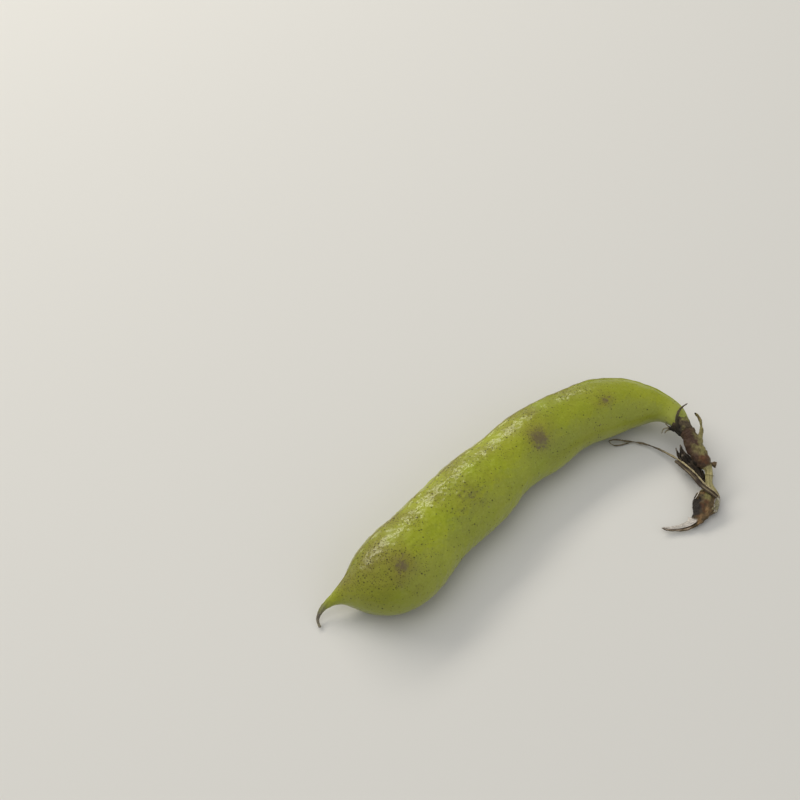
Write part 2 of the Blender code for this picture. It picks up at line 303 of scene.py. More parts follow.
def node(tree, kind, inputs=None, **settings):
    """Adds a node of a kind, with its settings and its inputs."""
    made = tree.nodes.new(kind)
    for name, value in settings.items():
        setattr(made, name, value)
    return connect(tree, made, inputs or {})


def lay_coats(tree, ground, coats):
    """Lays coats of colour on a ground, in order: where a coat's mask is 1 its colour covers all
    below it, and where the mask is 0 nothing changes."""
    shown = linear(ground)
    for colour, mask in coats:
        links = {0: mask, 6: shown, 7: linear(colour)}
        shown = node(tree, "ShaderNodeMix", links, data_type="RGBA").outputs[2]
    return shown


def new_finish(name, **constants):
    """An empty material with its main shader, and the values that are the same all over it."""
    made = bpy.data.materials.new(name)
    made.use_nodes = True
    shader = made.node_tree.nodes["Principled BSDF"]
    for socket, value in constants.items():
        shader.inputs[socket.replace("_", " ")].default_value = value
    return made, made.node_tree, shader


def per_mm(size_mm):
    """The Scale of a texture whose cells are to be this many millimetres across."""
    return 1.0 / (size_mm * MM)


print("bean green in linear light:", [round(c, 3) for c in linear("#8a9a2a")])

# %% [markdown]
# ## The pod
#
# A broad bean pod is one leathery, slightly flattened tube with a suture along its back and its
# belly. It bows, swells a little over each bean, and ends in the dried style of the flower, the
# beak. The sizes here are those of the solid, but for a slightly fuller neck: the middle line,
# the half width and a sideways shift at given stations. An ellipse that leans back 14 degrees is
# carried along that line.

# %% The pod's middle line
POD_ROWS = np.array([  # x, y and z of the middle line, half width, shift to back (+) or belly (-)
    (-8.9, -3.6, 0.9, 0.45, 0.0),
    (-8.4, -1.3, 1.5, 0.6, 0.0),
    (-6.4, 0.3, 3.0, 0.9, -0.1),
    (-3.2, 0.7, 5.0, 1.5, -0.3),
    (0.3, 0.1, 6.6, 2.85, 0.0),
    (3.8, -0.8, 8.4, 5.7, -0.4),
    (7.5, -1.3, 9.8, 9.2, -1.6),
    (12.0, -1.2, 10.5, 11.8, -2.5),
    (18.0, -0.5, 10.8, 13.2, -2.7),
    (26.0, 1.0, 10.8, 13.4, -2.3),
    (36.0, 3.6, 10.5, 12.5, -1.1),
    (47.0, 6.4, 10.3, 12.7, -0.6),
    (57.0, 8.8, 10.3, 12.9, -0.3),
    (68.0, 11.8, 9.9, 11.6, 0.0),
    (78.0, 13.8, 9.5, 11.7, 0.5),
    (88.0, 15.1, 9.3, 12.0, 0.3),
    (100.0, 16.0, 9.1, 10.9, 0.5),
    (112.0, 14.9, 9.0, 10.7, 0.3),
    (119.0, 13.0, 9.0, 9.7, 0.2),
    (124.3, 10.4, 8.9, 8.2, 0.2),
    (128.2, 7.7, 8.8, 6.6, 0.1),
    (130.8, 4.6, 8.7, 5.1, 0.2),
    (132.1, 1.3, 8.6, 4.2, 0.6),
    (132.5, -1.6, 8.6, 3.6, 0.7),
    (132.5, -3.9, 8.5, 3.0, 0.5),
    (132.4, -6.2, 8.4, 2.4, 0.2),
])
POD_KNOTS = knots_of(POD_ROWS)
POD_LENGTH = POD_KNOTS[-1]
print(f"pod: {POD_LENGTH:.0f} mm along its middle line")

# %% The pod's surface
LEAN = math.radians(14.0)
FLATNESS = 0.76  # how thick the ellipse is for its width
BEANS = (34.5, 66.0, 97.5, 126.0)  # places of the beans along the middle line
BEAN_REACH = 9.5
SEAM_ANGLE = math.radians(27.0)
SEAM_RIDGE = 0.4  # how far a suture stands up, in mm
SHORT_STEP = 0.05


def seam_at(turn, width):
    """1 on the two sutures, which lie opposite each other, and 0 away from them."""
    return bump_at(np.sin(turn - SEAM_ANGLE), 0.0, width)


def pod_surface(along, turn, height=0.0):
    """Points of the pod at distances along its middle line from the beak's tip and at angles
    round it from the back edge, over the top. The ellipse is rounder where the pod is thin,
    thicker over a bean, and has a low ridge along both sutures. The height lifts a point off the
    skin, and whatever would sink into the table stops on it."""
    along, turn, height = np.broadcast_arrays(along, turn, height)
    inside = np.clip(along, 0.0, POD_LENGTH)
    here = smooth(POD_KNOTS, POD_ROWS, inside)
    ahead = smooth(POD_KNOTS, POD_ROWS, np.minimum(inside + SHORT_STEP, POD_LENGTH))
    behind = smooth(POD_KNOTS, POD_ROWS, np.maximum(inside - SHORT_STEP, 0.0))
    forward = unit((ahead - behind)[..., :3] * (1, 1, 0))
    sideways = np.stack([-forward[..., 1], forward[..., 0], np.zeros(along.shape)], axis=-1)
    upward = np.array([0.0, 0.0, 1.0])
    wide = math.cos(LEAN) * sideways + math.sin(LEAN) * upward
    thick = math.cos(LEAN) * upward - math.sin(LEAN) * sideways
    half_width = here[..., 3]
    swell = sum(bump_at(along, bean, BEAN_REACH) for bean in BEANS)
    flatness = (FLATNESS + 0.2 * np.exp(-half_width / 3.0)) * (0.95 + 0.09 * swell)
    ridge = SEAM_RIDGE * np.minimum(half_width / 6.0, 1.0) * seam_at(turn, 0.08)
    across = (half_width + height + ridge) * np.cos(turn) + here[..., 4]
    over = (half_width * flatness + height + ridge) * np.sin(turn)
    centre = here[..., :3] + (along - inside)[..., None] * forward
    points = centre + across[..., None] * wide + over[..., None] * thick
    points[..., 2] = np.maximum(points[..., 2], 0.0)
    return points


print("its top over the second bean:", pod_surface(BEANS[1], math.pi / 2).round(1))

# %% [markdown]
# The skin of a pod isn't a clean ellipse. It is leathery: low dents some 12 and 5 mm across,
# small ones of about 2 and 1 mm that break the highlight up into flecks, and a fine grain. All
# the dents are real shape here, because they show at the outline and in the export, and only the
# grain is left to the material. Towards the tip the skin dries on to the style, so the dents turn
# into long folds.

# %% The pod's relief
POD_RINGS = 440
POD_SIDES = 214
CLOSER = 0.25  # how much closer the rings stand at the beak, whose folds are fine
DENTS = ((12.0, 0.2), (5.0, 0.12))  # size and height of the wide dents
LEATHER = ((2.2, 0.15), (1.1, 0.13))  # and of the small ones
GROOVE = 0.14  # how deep the thin line along a suture is, in mm
BEAK_DRIES = (13.0, 3.0)  # where the skin starts to dry on to the beak, and where it is dry
NECK = (148.0, 158.0)  # where the pod starts to turn into its neck, and where it is all neck


def pod_relief(along, turn):
    """How far the skin stands off the plain shape: dents of four sizes, a thin groove along each
    suture with puckers beside it, folds round the beak, which are a wave of the angle that twists
    along it and have knots on them, and nine faint ribs on the neck."""
    points = pod_surface(along, turn)
    width = smooth(POD_KNOTS, POD_ROWS, along)[..., 3]
    full = soft_step(width, 1.5, 8.0)
    groove = -GROOVE * seam_at(turn, 0.022) * full
    pull = 0.12 * seam_at(turn, 0.2) * lumps(points, 2.4, 11) * full
    dry = soft_step(along, *BEAK_DRIES)
    folds = -0.22 * width * dry * np.abs(np.sin(2.5 * turn + 0.35 * along)) ** 0.6
    knots = dry * width * layered(points, ((1.5, 0.2), (0.8, 0.12)), 5)
    neck = 0.05 * soft_step(along, *NECK) * np.sin(9 * turn)
    leather = (0.45 + 0.7 * bump_at(along, 58.0, 28.0)) * layered(points, LEATHER, 7)
    return full * (layered(points, DENTS) + leather) + groove + pull + folds + knots + neck


share = np.linspace(0.0, 1.0, POD_RINGS)
pod_along = (POD_LENGTH * (share + CLOSER * (share**2.2 - share)))[:, None]
pod_along, pod_turn = np.broadcast_arrays(pod_along, angles_round(POD_SIDES)[None])
pod_points = pod_surface(pod_along, pod_turn, pod_relief(pod_along, pod_turn))
print("relief:", pod_points.shape, "points")

# %% [markdown]
# Marks on a pod come from its life: rubbed purple-brown smudges and dark specks that crowd along
# the sunny back suture and near the beak. Two more are painted light: a deeper olive towards both
# ends is painted shade, and a paler belly side is a painted sheen, which also takes in the neck,
# whose pale greyish tint is its own. Painting them needs places, so they are worked out here as
# numbers from 0 to 1 on the points. The material then decides on the colour and gives their edges
# a ragged outline.

# %% Smudges and other ragged patches
SMUDGES = (  # distance along, angle in degrees, radius in mm, strength
    (98.1, 98, 3.3, 1.0),
    (95.6, 112, 0.7, 1.0),
    (31.5, 98, 2.3, 1.0),
    (29.6, 104, 0.8, 0.7),
    (33.5, 88, 0.7, 0.6),
    (28.2, 118, 0.6, 0.6),
    (127.6, 92, 1.2, 1.0),
    (129.6, 88, 0.6, 0.8),
    (124.9, 96, 0.5, 0.7),
    (64.2, 96, 3.6, 0.5),
    (66.5, 97, 0.5, 0.9),
    (61.0, 84, 0.4, 0.8),
    (24.0, 70, 3.6, 0.3),
    (55.0, 292, 2.2, 0.8),
    (103.0, 262, 3.0, 0.5),
    (84.0, 318, 1.2, 0.8),
)
STRAY_SPOTS = 60  # small ones, strewn at random


def ragged_patch(points, middle, radius, lump_size, raggedness, seed):
    """A ragged round patch: a bell of the distance from its middle, whose reach the lumps vary."""
    away = np.linalg.norm(points - middle, axis=-1) / radius
    return bump_at(away * (1 + raggedness * lumps(points, lump_size, seed)), 0.0, 1.0)


def blotch(points, along, degrees, radius, seed):
    """A patch round a place on the pod, with lumps that are over half its radius in size."""
    middle = pod_surface(along, math.radians(degrees))
    return ragged_patch(points, middle, radius, 0.55 * radius + 0.4, 0.45, seed)


print("smudges:", len(SMUDGES), "by hand and", STRAY_SPOTS, "at random")

# %% The pod's marks
SUNNY_SIDE, BELLY_SIDE = 34.0, 195.0  # angles in degrees, on the back and on the belly


def side_at(turn, degrees, width):
    """1 on the side that an angle in degrees points to, fading to 0 on both sides of it."""
    return bump_at(np.sin((turn - math.radians(degrees)) / 2), 0.0, width)


def pod_marks(points, along, turn):
    """The masks that the pod's finish reads, each from 0 to 1. A smudge or a halo is the strongest
    of its patches at a point. The others are bells and soft steps of the distance along and of
    the angle, and lumps make some of them patchy."""
    smudge, halo = np.zeros(along.shape), np.zeros(along.shape)
    for seed, (place, degrees, radius, strength) in enumerate(SMUDGES):
        smudge = np.maximum(smudge, strength * blotch(points, place, degrees, radius, seed))
        halo = np.maximum(halo, strength * blotch(points, place, degrees, 2.1 * radius, seed))
    draw = np.random.default_rng(4)
    for seed in range(STRAY_SPOTS):
        place, degrees = draw.uniform(16, 150), draw.uniform(0, 360)
        radius, strength = draw.uniform(0.2, 0.38), draw.uniform(0.6, 1.0)
        smudge = np.maximum(smudge, strength * blotch(points, place, degrees, radius, seed))
    degrees = np.degrees(turn)
    sunny = side_at(turn, SUNNY_SIDE, 0.3)
    sunny = sunny * soft_step(along, 150.0, 105.0) * soft_step(along, 10.0, 18.0)
    nose = bump_at(along, 23.0, 10.0) * bump_at(degrees, 90.0, 50.0)
    patchy = 0.7 + 0.9 * lumps(points, 5.0, 21)
    # the belly side is painted paler, a painted sheen; the neck's pale greyish tint is its own
    pale_side = side_at(turn, BELLY_SIDE, 0.26) + soft_step(along, *NECK)
    return {
        "smudge": smudge,
        "halo": halo,
        "specked": np.clip((0.12 + 0.7 * sunny + 0.75 * nose) * patchy + 0.4 * halo, 0, 1),
        "suture": seam_at(turn, 0.05) * soft_step(along, 6, 16) * soft_step(along, 160, 140),
        # painted shade: a deeper olive over the first bean and towards the stalk
        "painted_end_shade": 0.6 * np.clip(bump_at(along, 20, 14) + 0.5 * soft_step(along, 85, 120), 0, 1),
        "bloom_and_sheen": np.clip(pale_side * (0.6 + 0.3 * lumps(points, 9.0, 22)), 0, 1),
        "dry": soft_step(along + 1.6 * lumps(points, 3.0, 23), 12.5, 2.5),
    }


pod_masks = pod_marks(pod_points, pod_along, pod_turn)
print("marks:", {name: round(float(mask.mean()), 3) for name, mask in pod_masks.items()})

# %% [markdown]
# ### Specks
#
# Specks are corky pits in the skin, from a pinprick to over half a millimetre. They could be
# painted by hand, but there are hundreds. A Voronoi texture parts space into cells, each with a
# middle and a random colour of its own. Each cell holds one dot round its middle, and its colour
# serves as its lots: one decides on the dot's size and one on whether the dot shows at all, which
# it does where the lot falls below the crowding there. The finest are drawn a little larger than
# life, or they would be lost between the pixels.

# %% Specks
SPECKS = (  # name, size of the cells in mm, radius of the largest specks in mm, strength
    ("fine", 0.42, 0.24, 0.9),
    ("coarse", 0.9, 0.38, 0.85),
)


def specks(tree, place, apart, radius, strength, crowding):
    """A mask of dots: full within half the radius of a cell's middle and gone at the radius, which
    the cell's second lot makes smaller, and only in cells whose first lot is below the crowding."""
    cells = node(tree, "ShaderNodeTexVoronoi", {"Vector": place, "Scale": per_mm(apart)})
    lots = node(tree, "ShaderNodeSeparateColor", {0: cells.outputs["Color"]}).outputs
    edge = radius / apart
    away = node(
        tree, "ShaderNodeMath", {0: lots[1], 1: 0.6 * edge, 2: cells.outputs["Distance"]},
        operation="MULTIPLY_ADD",
    )
    dot = node(tree, "ShaderNodeMapRange", {0: away, 1: edge, 2: edge * 0.5, 4: strength})
    shown = node(tree, "ShaderNodeMath", {0: lots[0], 1: crowding}, operation="LESS_THAN")
    return node(tree, "ShaderNodeMath", {0: dot, 1: shown}, operation="MULTIPLY")


print("specks:", ", ".join(f"{name} up to {2 * radius} mm" for name, _, radius, _ in SPECKS))

# %% [markdown]
# ### Colours of the pod
#
# The ground is a lime-olive that drifts between yellow and green over some 18 mm, with a fine pale
# mottling like orange peel. On it lie the painted shade of the ends, the painted sheen of the belly
# with the neck's own pale tint, the brown haze round specks and smudges, the specks, the smudges,
# the brown suture and the grey of the beak, in that order. Each coat is one row of a table: it
# starts to show at one value of its pattern and is full at another.
# A noise under a millimetre in size is added to the smudges, which breaks them up into dabs at
# their edges. The same noise makes the suture uneven and streaks the beak.

# %% Colours of the pod
NOISES = (  # name, size in mm, detail, roughness
    ("drift", 18.0, 2.0, 0.5),
    ("mottle", 0.75, 3.0, 0.65),
    ("ragged", 0.8, 4.0, 0.75),
)
POD_GROUND = "#969e18"
POD_COATS = (  # colour, pattern, where the coat starts, where it is full, strength
    ("#a4a825", "drift", 0.48, 0.75, 0.6),
    ("#859816", "drift", 0.5, 0.25, 0.5),
    ("#afb548", "mottle", 0.5, 0.7, 0.35),
    ("#7f880e", "mottle", 0.48, 0.3, 0.4),
    # painted shade at both ends of the pod
    ("#7b8020", "painted_end_shade", 0.0, 1.0, 1.0),
    # a painted sheen on the belly side, and the neck's own pale tint
    ("#a3a852", "bloom_and_sheen", 0.0, 1.0, 1.0),
    ("#7a7026", "specked", 0.0, 1.0, 0.6),
    ("#7f7634", "halo", 0.0, 1.0, 0.55),
    ("#4a3a1a", "fine", 0.0, 1.0, 1.0),
    ("#332c18", "coarse", 0.0, 1.0, 1.0),
    ("#66583f", "frayed smudge", 1.35, 1.9, 0.85),
    ("#6e5a2a", "uneven suture", 0.1, 0.6, 0.8),
    ("#7b7e4c", "dry", 0.0, 1.0, 1.0),
    ("#847c6a", "dry", 0.55, 0.9, 1.0),
    ("#5a534b", "streaks", 0.0, 1.0, 1.0),
)


def pod_patterns(tree, place):
    """All that the finish is painted from, by name: the marks on the points, the noises, the
    specks, and the marks that the ragged noise is added to or multiplied with."""
    found = {}
    for name in pod_masks:
        found[name] = node(tree, "ShaderNodeAttribute", attribute_name=name).outputs["Fac"]
    for name, size, detail, roughness in NOISES:
        found[name] = node(tree, "ShaderNodeTexNoise", {
            "Vector": place, "Scale": per_mm(size), "Detail": detail, "Roughness": roughness,
        })
    for name, apart, radius, strength in SPECKS:
        found[name] = specks(tree, place, apart, radius, strength, found["specked"])
    ragged = found["ragged"]
    tip = node(tree, "ShaderNodeMapRange", {0: ragged, 1: 0.42, 2: 0.62, 4: 0.85})
    dried = node(tree, "ShaderNodeMapRange", {0: found["dry"], 1: 0.55, 2: 0.9})
    for name, operation, inputs in (
        ("frayed smudge", "MULTIPLY_ADD", {0: ragged, 1: 2.0, 2: found["smudge"]}),
        ("uneven suture", "MULTIPLY", {0: found["suture"], 1: ragged}),
        ("streaks", "MULTIPLY", {0: tip, 1: dried}),
    ):
        found[name] = node(tree, "ShaderNodeMath", inputs, operation=operation)
    return found


print("coats on the pod:", len(POD_COATS))

# %% [markdown]
# ### Waxy skin
#
# The skin is a thin layer of wax over a spongy wall. The wall is satin and a little translucent:
# light sinks in about a millimetre and comes out yellower, and a lamp shows in it as a wide soft
# band. The wax is smoother, so the same lamp also shows sharply in it, as small flecks within the
# band. Specks and the dry beak have no wax, so they stay dark and matt inside the highlight.
# Clear varnish over paint is made the same way, with the main shader's coat.

# %% Finish of the pod, and the pod
WAX = 0.4  # how much of the light the wax layer can mirror


def waxy_pod_skin():
    """The coats of colour, a gloss that the mottling varies and bare spots take away, and a grain
    of pebbles 1.3 mm across with the mottling on them."""
    made, tree, shader = new_finish(
        "Waxy broad bean skin", IOR=1.45, Specular_IOR_Level=0.38, Subsurface_Weight=0.12,
        Subsurface_Scale=1.2 * MM, Subsurface_Radius=(0.9, 1.0, 0.35), Coat_Roughness=0.12,
    )
    place = node(tree, "ShaderNodeTexCoord").outputs["Object"]
    found = pod_patterns(tree, place)
    coats = [
        (colour, node(tree, "ShaderNodeMapRange", {0: found[name], 1: start, 2: full, 4: strength}))
        for colour, name, start, full, strength in POD_COATS
    ]
    pits = node(tree, "ShaderNodeMath", {0: found["fine"], 1: found["coarse"]}, operation="MAXIMUM")
    bare = node(tree, "ShaderNodeMath", {0: found["dry"], 1: pits}, operation="MAXIMUM")
    gloss = node(tree, "ShaderNodeMapRange", {0: found["mottle"], 1: 0.3, 2: 0.7, 3: 0.3, 4: 0.42})
    dull = node(tree, "ShaderNodeMath", {0: bare, 1: 0.4, 2: gloss}, operation="MULTIPLY_ADD")
    wax = node(tree, "ShaderNodeMapRange", {0: bare, 2: 0.8, 3: WAX, 4: 0.0})
    pebbles = node(
        tree, "ShaderNodeTexVoronoi", {"Vector": place, "Scale": per_mm(1.3)}, feature="SMOOTH_F1",
    )
    grain = node(
        tree, "ShaderNodeMath", {0: found["mottle"], 1: 0.6, 2: pebbles.outputs["Distance"]},
        operation="MULTIPLY_ADD",
    )
    raised = node(tree, "ShaderNodeBump", {"Height": grain, "Strength": 0.8, "Distance": 0.14 * MM})
    connect(tree, shader, {
        "Base Color": lay_coats(tree, POD_GROUND, coats), "Roughness": dull, "Coat Weight": wax,
        "Normal": raised, "Coat Normal": raised,
    })
    return made


skin("pod_skin", pod_points, waxy_pod_skin(), "pod_skin", "pod", marks=pod_masks)

# %% [markdown]
# ## Tubes along bent lines
#
# The stalk, the bract, the threads and the dried strap are tubes too, but flatter and more
# crooked. For them an ellipse is carried along a curve through a few rows, and it stays level
# unless a row twists it. A relief may lift every point off the ellipse, which is how bark, ribs
# and wrinkles get on to it.

# %% A tube along rows
THIN_END = 0.003  # share that keeps the last ring of a rounded tip from closing to a point


def middle_line(rows, rings):
    """Evenly spaced stations on the smooth curve through the rows: the distance along, the row's
    numbers there, the direction of the line, and the level direction across it."""
    rows = np.array(rows, float)
    knots = knots_of(rows)
    along = np.linspace(0.0, knots[-1], rings)
    here = smooth(knots, rows, along)
    forward = unit(np.gradient(here[:, :3], along, axis=0))
    return along, here, forward, unit(np.cross([0.0, 0.0, 1.0], forward))


def tube(rows, rings, sides, relief=None, taper=0.0):
    """Rings of an ellipse carried along the smooth curve through the rows (x, y, z, half width,
    half height, and a twist in degrees where there is one). The relief is a function of the point,
    the distance along and the angle, and gives how far the point stands off the ellipse. The last
    share of the length called taper shrinks as a square root does, so that the tip is round."""
    along, here, forward, level = middle_line([(*row, 0.0)[:6] for row in rows], rings)
    length = along[-1]
    upright = np.cross(forward, level)
    twist = np.radians(here[:, 5:6])
    wide = (np.cos(twist) * level + np.sin(twist) * upright)[:, None]
    high = (np.cos(twist) * upright - np.sin(twist) * level)[:, None]
    along, turn = np.broadcast_arrays(along[:, None], angles_round(sides)[None])
    shrink = np.ones(along.shape)
    if taper:
        shrink = np.sqrt(np.clip((1.0 - along / length) / taper, THIN_END, 1.0))

    def at(height):
        """The ellipse's points, each lifted off it by the height."""
        across = (here[:, 3:4] * shrink + height) * np.cos(turn)
        over = (here[:, 4:5] * shrink + height) * np.sin(turn)
        return here[:, None, :3] + across[..., None] * wide + over[..., None] * high

    points = at(0.0)
    if relief:
        points = at(relief(points, along, turn) * shrink)
    return points, along, turn


points, along, turn = tube([(0, 0, 5, 1, 1), (9, 0, 5, 1, 1), (18, 3, 5, 1, 1)], 90, 24)
print("a short tube:", points.shape, "points")

# %% Patches on a tube
def patches(points, along, spots, seed):
    """A mask of ragged round patches on a grid of rings. A spot gives the place along and the
    angle in degrees of its middle, its radius in mm and its strength, and fades as a bell does."""
    mask = np.zeros(points.shape[:2])
    for distance, degrees, radius, strength in spots:
        ring = np.abs(along[:, 0] - distance).argmin()
        middle = points[ring, round(degrees / 360 * points.shape[1]) % points.shape[1]]
        patch = ragged_patch(points, middle, radius, 0.5 * radius + 0.3, 0.5, seed)
        mask = np.maximum(mask, strength * patch)
    return mask


spot = patches(points, along, [(9.0, 90.0, 1.0, 1.0)], 1)
print("a spot in the middle of its upper side covers", int((spot > 0.3).sum()), "points")

# %% [markdown]
# ## Finishes for stalk, calyx and dry parts
#
# Stalk, withered sepals, dead petals and the straw-like strap look different, but they were made
# the same way: plant fibres run along them, colour lies on them in patches with ragged edges, and
# the older they are the less they shine. One function with a grain, some coats and a bump
# therefore serves them all, and only its numbers and colours change.

# %% A fibrous plant finish
def fibrous(name, ground, coats, grain, roughness, bump, contrast=0.5):
    """Coats with ragged edges on a ground, all crossed by a grain: noise that is stretched along
    the piece's UV map, a given length and width in mm. The bump is its height in mm."""
    made, tree, shader = new_finish(name, Roughness=roughness, Specular_IOR_Level=0.3)
    place = node(tree, "ShaderNodeTexCoord").outputs
    length, width = grain
    stretched = node(tree, "ShaderNodeMapping", {
        "Vector": place["UV"], "Scale": (per_mm(length), per_mm(width), 1.0),
    })
    fibres = node(tree, "ShaderNodeTexNoise", {
        "Vector": stretched, "Scale": 1.0, "Detail": 4.0, "Roughness": 0.65,
    })
    blotches = node(tree, "ShaderNodeTexNoise", {
        "Vector": place["Object"], "Scale": per_mm(1.1), "Detail": 5.0, "Roughness": 0.75,
    })
    uneven = node(tree, "ShaderNodeMath", {0: fibres, 1: blotches}, operation="ADD")
    layers = []
    for colour, mark in coats:
        mask = node(tree, "ShaderNodeAttribute", attribute_name=mark).outputs["Fac"]
        frayed = node(tree, "ShaderNodeMath", {0: uneven, 1: mask}, operation="ADD")
        edge = node(tree, "ShaderNodeMapRange", {0: frayed, 1: 1.1, 2: 1.75})
        laid = node(tree, "ShaderNodeMath", {0: edge, 1: mask}, operation="MULTIPLY")
        layers.append((colour, node(tree, "ShaderNodeMapRange", {0: laid, 2: 0.7})))
    painted = lay_coats(tree, ground, layers)
    light, dark = 1 + contrast, 1 - contrast
    shade = node(tree, "ShaderNodeMapRange", {0: uneven, 1: 0.7, 2: 1.3, 3: dark, 4: light})
    lit = node(tree, "ShaderNodeVectorMath", {0: painted, 1: shade}, operation="MULTIPLY")
    raised = node(tree, "ShaderNodeBump", {
        "Height": fibres, "Strength": 0.8, "Distance": bump * MM,
    })
    connect(tree, shader, {"Base Color": lit, "Normal": raised})
    return made


print("a grain 6 mm long and 0.4 mm wide has the scales", per_mm(6), per_mm(0.4))

# %% [markdown]
# ## The calyx
#
# The calyx is the green cup that held the flower. On a ripe pod it has withered to a thin, brown,
# wrinkled collar with ragged points. The collar is worked out on the pod's own surface, a little
# above it, so it can't miss the neck. Its section runs from the middle of the foot up the outside,
# over the rim and down the inside, and its rim reaches up the neck by a length that was read off
# for sixteen angles. On the back it has dried flat on to the neck.

# %% Section and rim of the calyx
CALYX_SECTION = np.array([  # share of the reach, distance past the neck's end, height over skin
    (0.0, 1.75, -2.0),
    (0.0, 1.75, -0.5),
    (0.0, 1.55, 0.05),
    (0.0, 1.2, 0.4),
    (0.0, 0.8, 0.55),
    (0.0, 0.3, 0.62),
    (0.2, 0.0, 0.62),
    (0.5, 0.0, 0.56),
    (0.8, 0.0, 0.46),
    (1.0, 0.0, 0.34),
    (1.0, 0.0, 0.22),
    (0.7, 0.0, 0.15),
    (0.3, 0.0, 0.15),
    (0.0, 0.3, 0.1),
    (0.0, 0.5, -0.4),
    (0.0, 0.5, -2.0),
])
CALYX_RIM = np.array([  # angle in degrees, reach up the neck, how far the rim curls out
    (0, 1.5, 0.1),
    (27, 1.7, 0.05),
    (42, 2.6, 0.1),
    (58, 2.2, 0.05),
    (74, 2.4, 0.05),
    (90, 3.3, 0.1),
    (104, 3.7, 0.1),
    (122, 2.5, 0.15),
    (140, 2.9, 0.3),
    (160, 2.6, 0.6),
    (182, 3.2, 1.3),
    (204, 4.3, 1.1),
    (226, 2.6, 0.5),
    (258, 2.1, 0.2),
    (290, 4.0, 0.3),
    (318, 2.3, 0.1),
])
print("the rim reaches", CALYX_RIM[:, 1].min(), "to", CALYX_RIM[:, 1].max(), "mm up the neck")

# %% The calyx cup
CALYX_STEPS = 76
CALYX_SIDES = 190
OUTSIDE_ENDS = 9.5  # the row of the section where the rim turns in
PRESSED_SIDE = 10.0  # the angle, in degrees, where the cup has dried flat on to the neck


def calyx_cup():
    """Rings round the neck: the first parameter runs through the rows of the section, and the
    second is the angle. Ribs and crumples ride on the outside and fade towards the foot, and a
    bell of the angle presses the cup flat on the back."""
    row = np.linspace(0.0, len(CALYX_SECTION) - 1, CALYX_STEPS)
    stations = np.arange(len(CALYX_SECTION))
    share, past, height = (np.interp(row, stations, column)[:, None] for column in CALYX_SECTION.T)
    turn = angles_round(CALYX_SIDES)[None]
    angles, reaches, curls = CALYX_RIM.T
    reach = np.interp(np.degrees(turn), angles, reaches, period=360)
    reach = reach + 0.22 * np.sin(23 * turn) * np.sin(7 * turn + 1.0)
    curl = np.interp(np.degrees(turn), angles, curls, period=360)
    row = row[:, None] * np.ones(turn.shape)
    outside = soft_step(row, OUTSIDE_ENDS + 1, OUTSIDE_ENDS - 1) * soft_step(row, 1.5, 3.5)
    along = POD_LENGTH + past - share * reach
    place = pod_surface(along, turn)
    ribs = 0.12 * np.cos(10 * turn) + 0.07 * np.cos(17 * turn + 1.0)
    crumples = layered(place * (1, 0.6, 1), ((1.9, 0.45), (0.9, 0.3), (0.45, 0.14)), 31)
    flat = 1 - 0.7 * side_at(turn, PRESSED_SIDE, 0.3)
    lift = flat * (height + outside * (ribs + crumples)) + curl * share**2
    return pod_surface(along, turn, lift), row


calyx_points, calyx_row = calyx_cup()
print("calyx:", calyx_points.shape, "points")

# %% Marks of the calyx
# painted shade: near-black patches round the lower, shaded side of the calyx
CALYX_DARK = (  # row of the section, angle in degrees, radius in mm, strength
    (6, 148, 1.7, 0.9), (5, 172, 2.2, 1.0), (7, 200, 2.6, 1.0), (8, 108, 0.6, 0.8),
    (4, 230, 2.6, 0.9), (6, 270, 2.5, 0.6),
)
CALYX_FRESH = (
    (8, 46, 1.1, 1.0), (8, 66, 1.0, 1.0), (7, 30, 0.8, 0.8), (4.5, 104, 1.1, 0.5),
    (8, 330, 1.2, 0.6),
)
upper = bump_at(np.degrees(angles_round(CALYX_SIDES)), 66, 34)  # 1 on the side that shows
dark_patches = patches(calyx_points, calyx_row, CALYX_DARK, 32)
calyx_marks = {
    "rim": bump_at(calyx_row, 9.4, 0.5) * 0.75 * (1 - upper),
    # painted shade: a dark line along the rim on the side that shows, and the near-black patches
    "dark": upper * bump_at(calyx_row, 9.6, 0.7) + dark_patches,
    "fresh": patches(calyx_points, calyx_row, CALYX_FRESH, 33),
}
print("marks:", {name: round(float(mask.max()), 2) for name, mask in calyx_marks.items()})

# %% [markdown]
# ### Withered sepal
#
# A dead sepal is papery: no gloss, and brown with a grey cast. Its near-black patches on the
# shaded side are painted shade, and so is a dark line along the rim on the side that shows. It is
# pale where the edge has torn, and a trace of green is left where it lay against the neck.

# %% Finish of the calyx, and the cup
def withered_sepal():
    """Grey-brown with a trace of green, black patches of painted shade and pale torn edges."""
    return fibrous(
        "Withered sepal", "#4f4434",
        (("#7d7946", "fresh"), ("#2a2721", "dark"), ("#877e64", "rim")),
        grain=(3.0, 0.5), roughness=0.82, bump=0.4, contrast=0.6,
    )


SEPAL = (withered_sepal(), "withered_calyx", "calyx")  # finish, slot and the solid replaced
skin("calyx_cup", calyx_points, *SEPAL, marks=calyx_marks)

# %% [markdown]
# One point of the calyx is long and stands off the neck like a thorn, and on the belly side a few
# dead threads curl away from it. Both are tubes: the long point is flat and folded along its
# middle, and the threads taper to nothing.

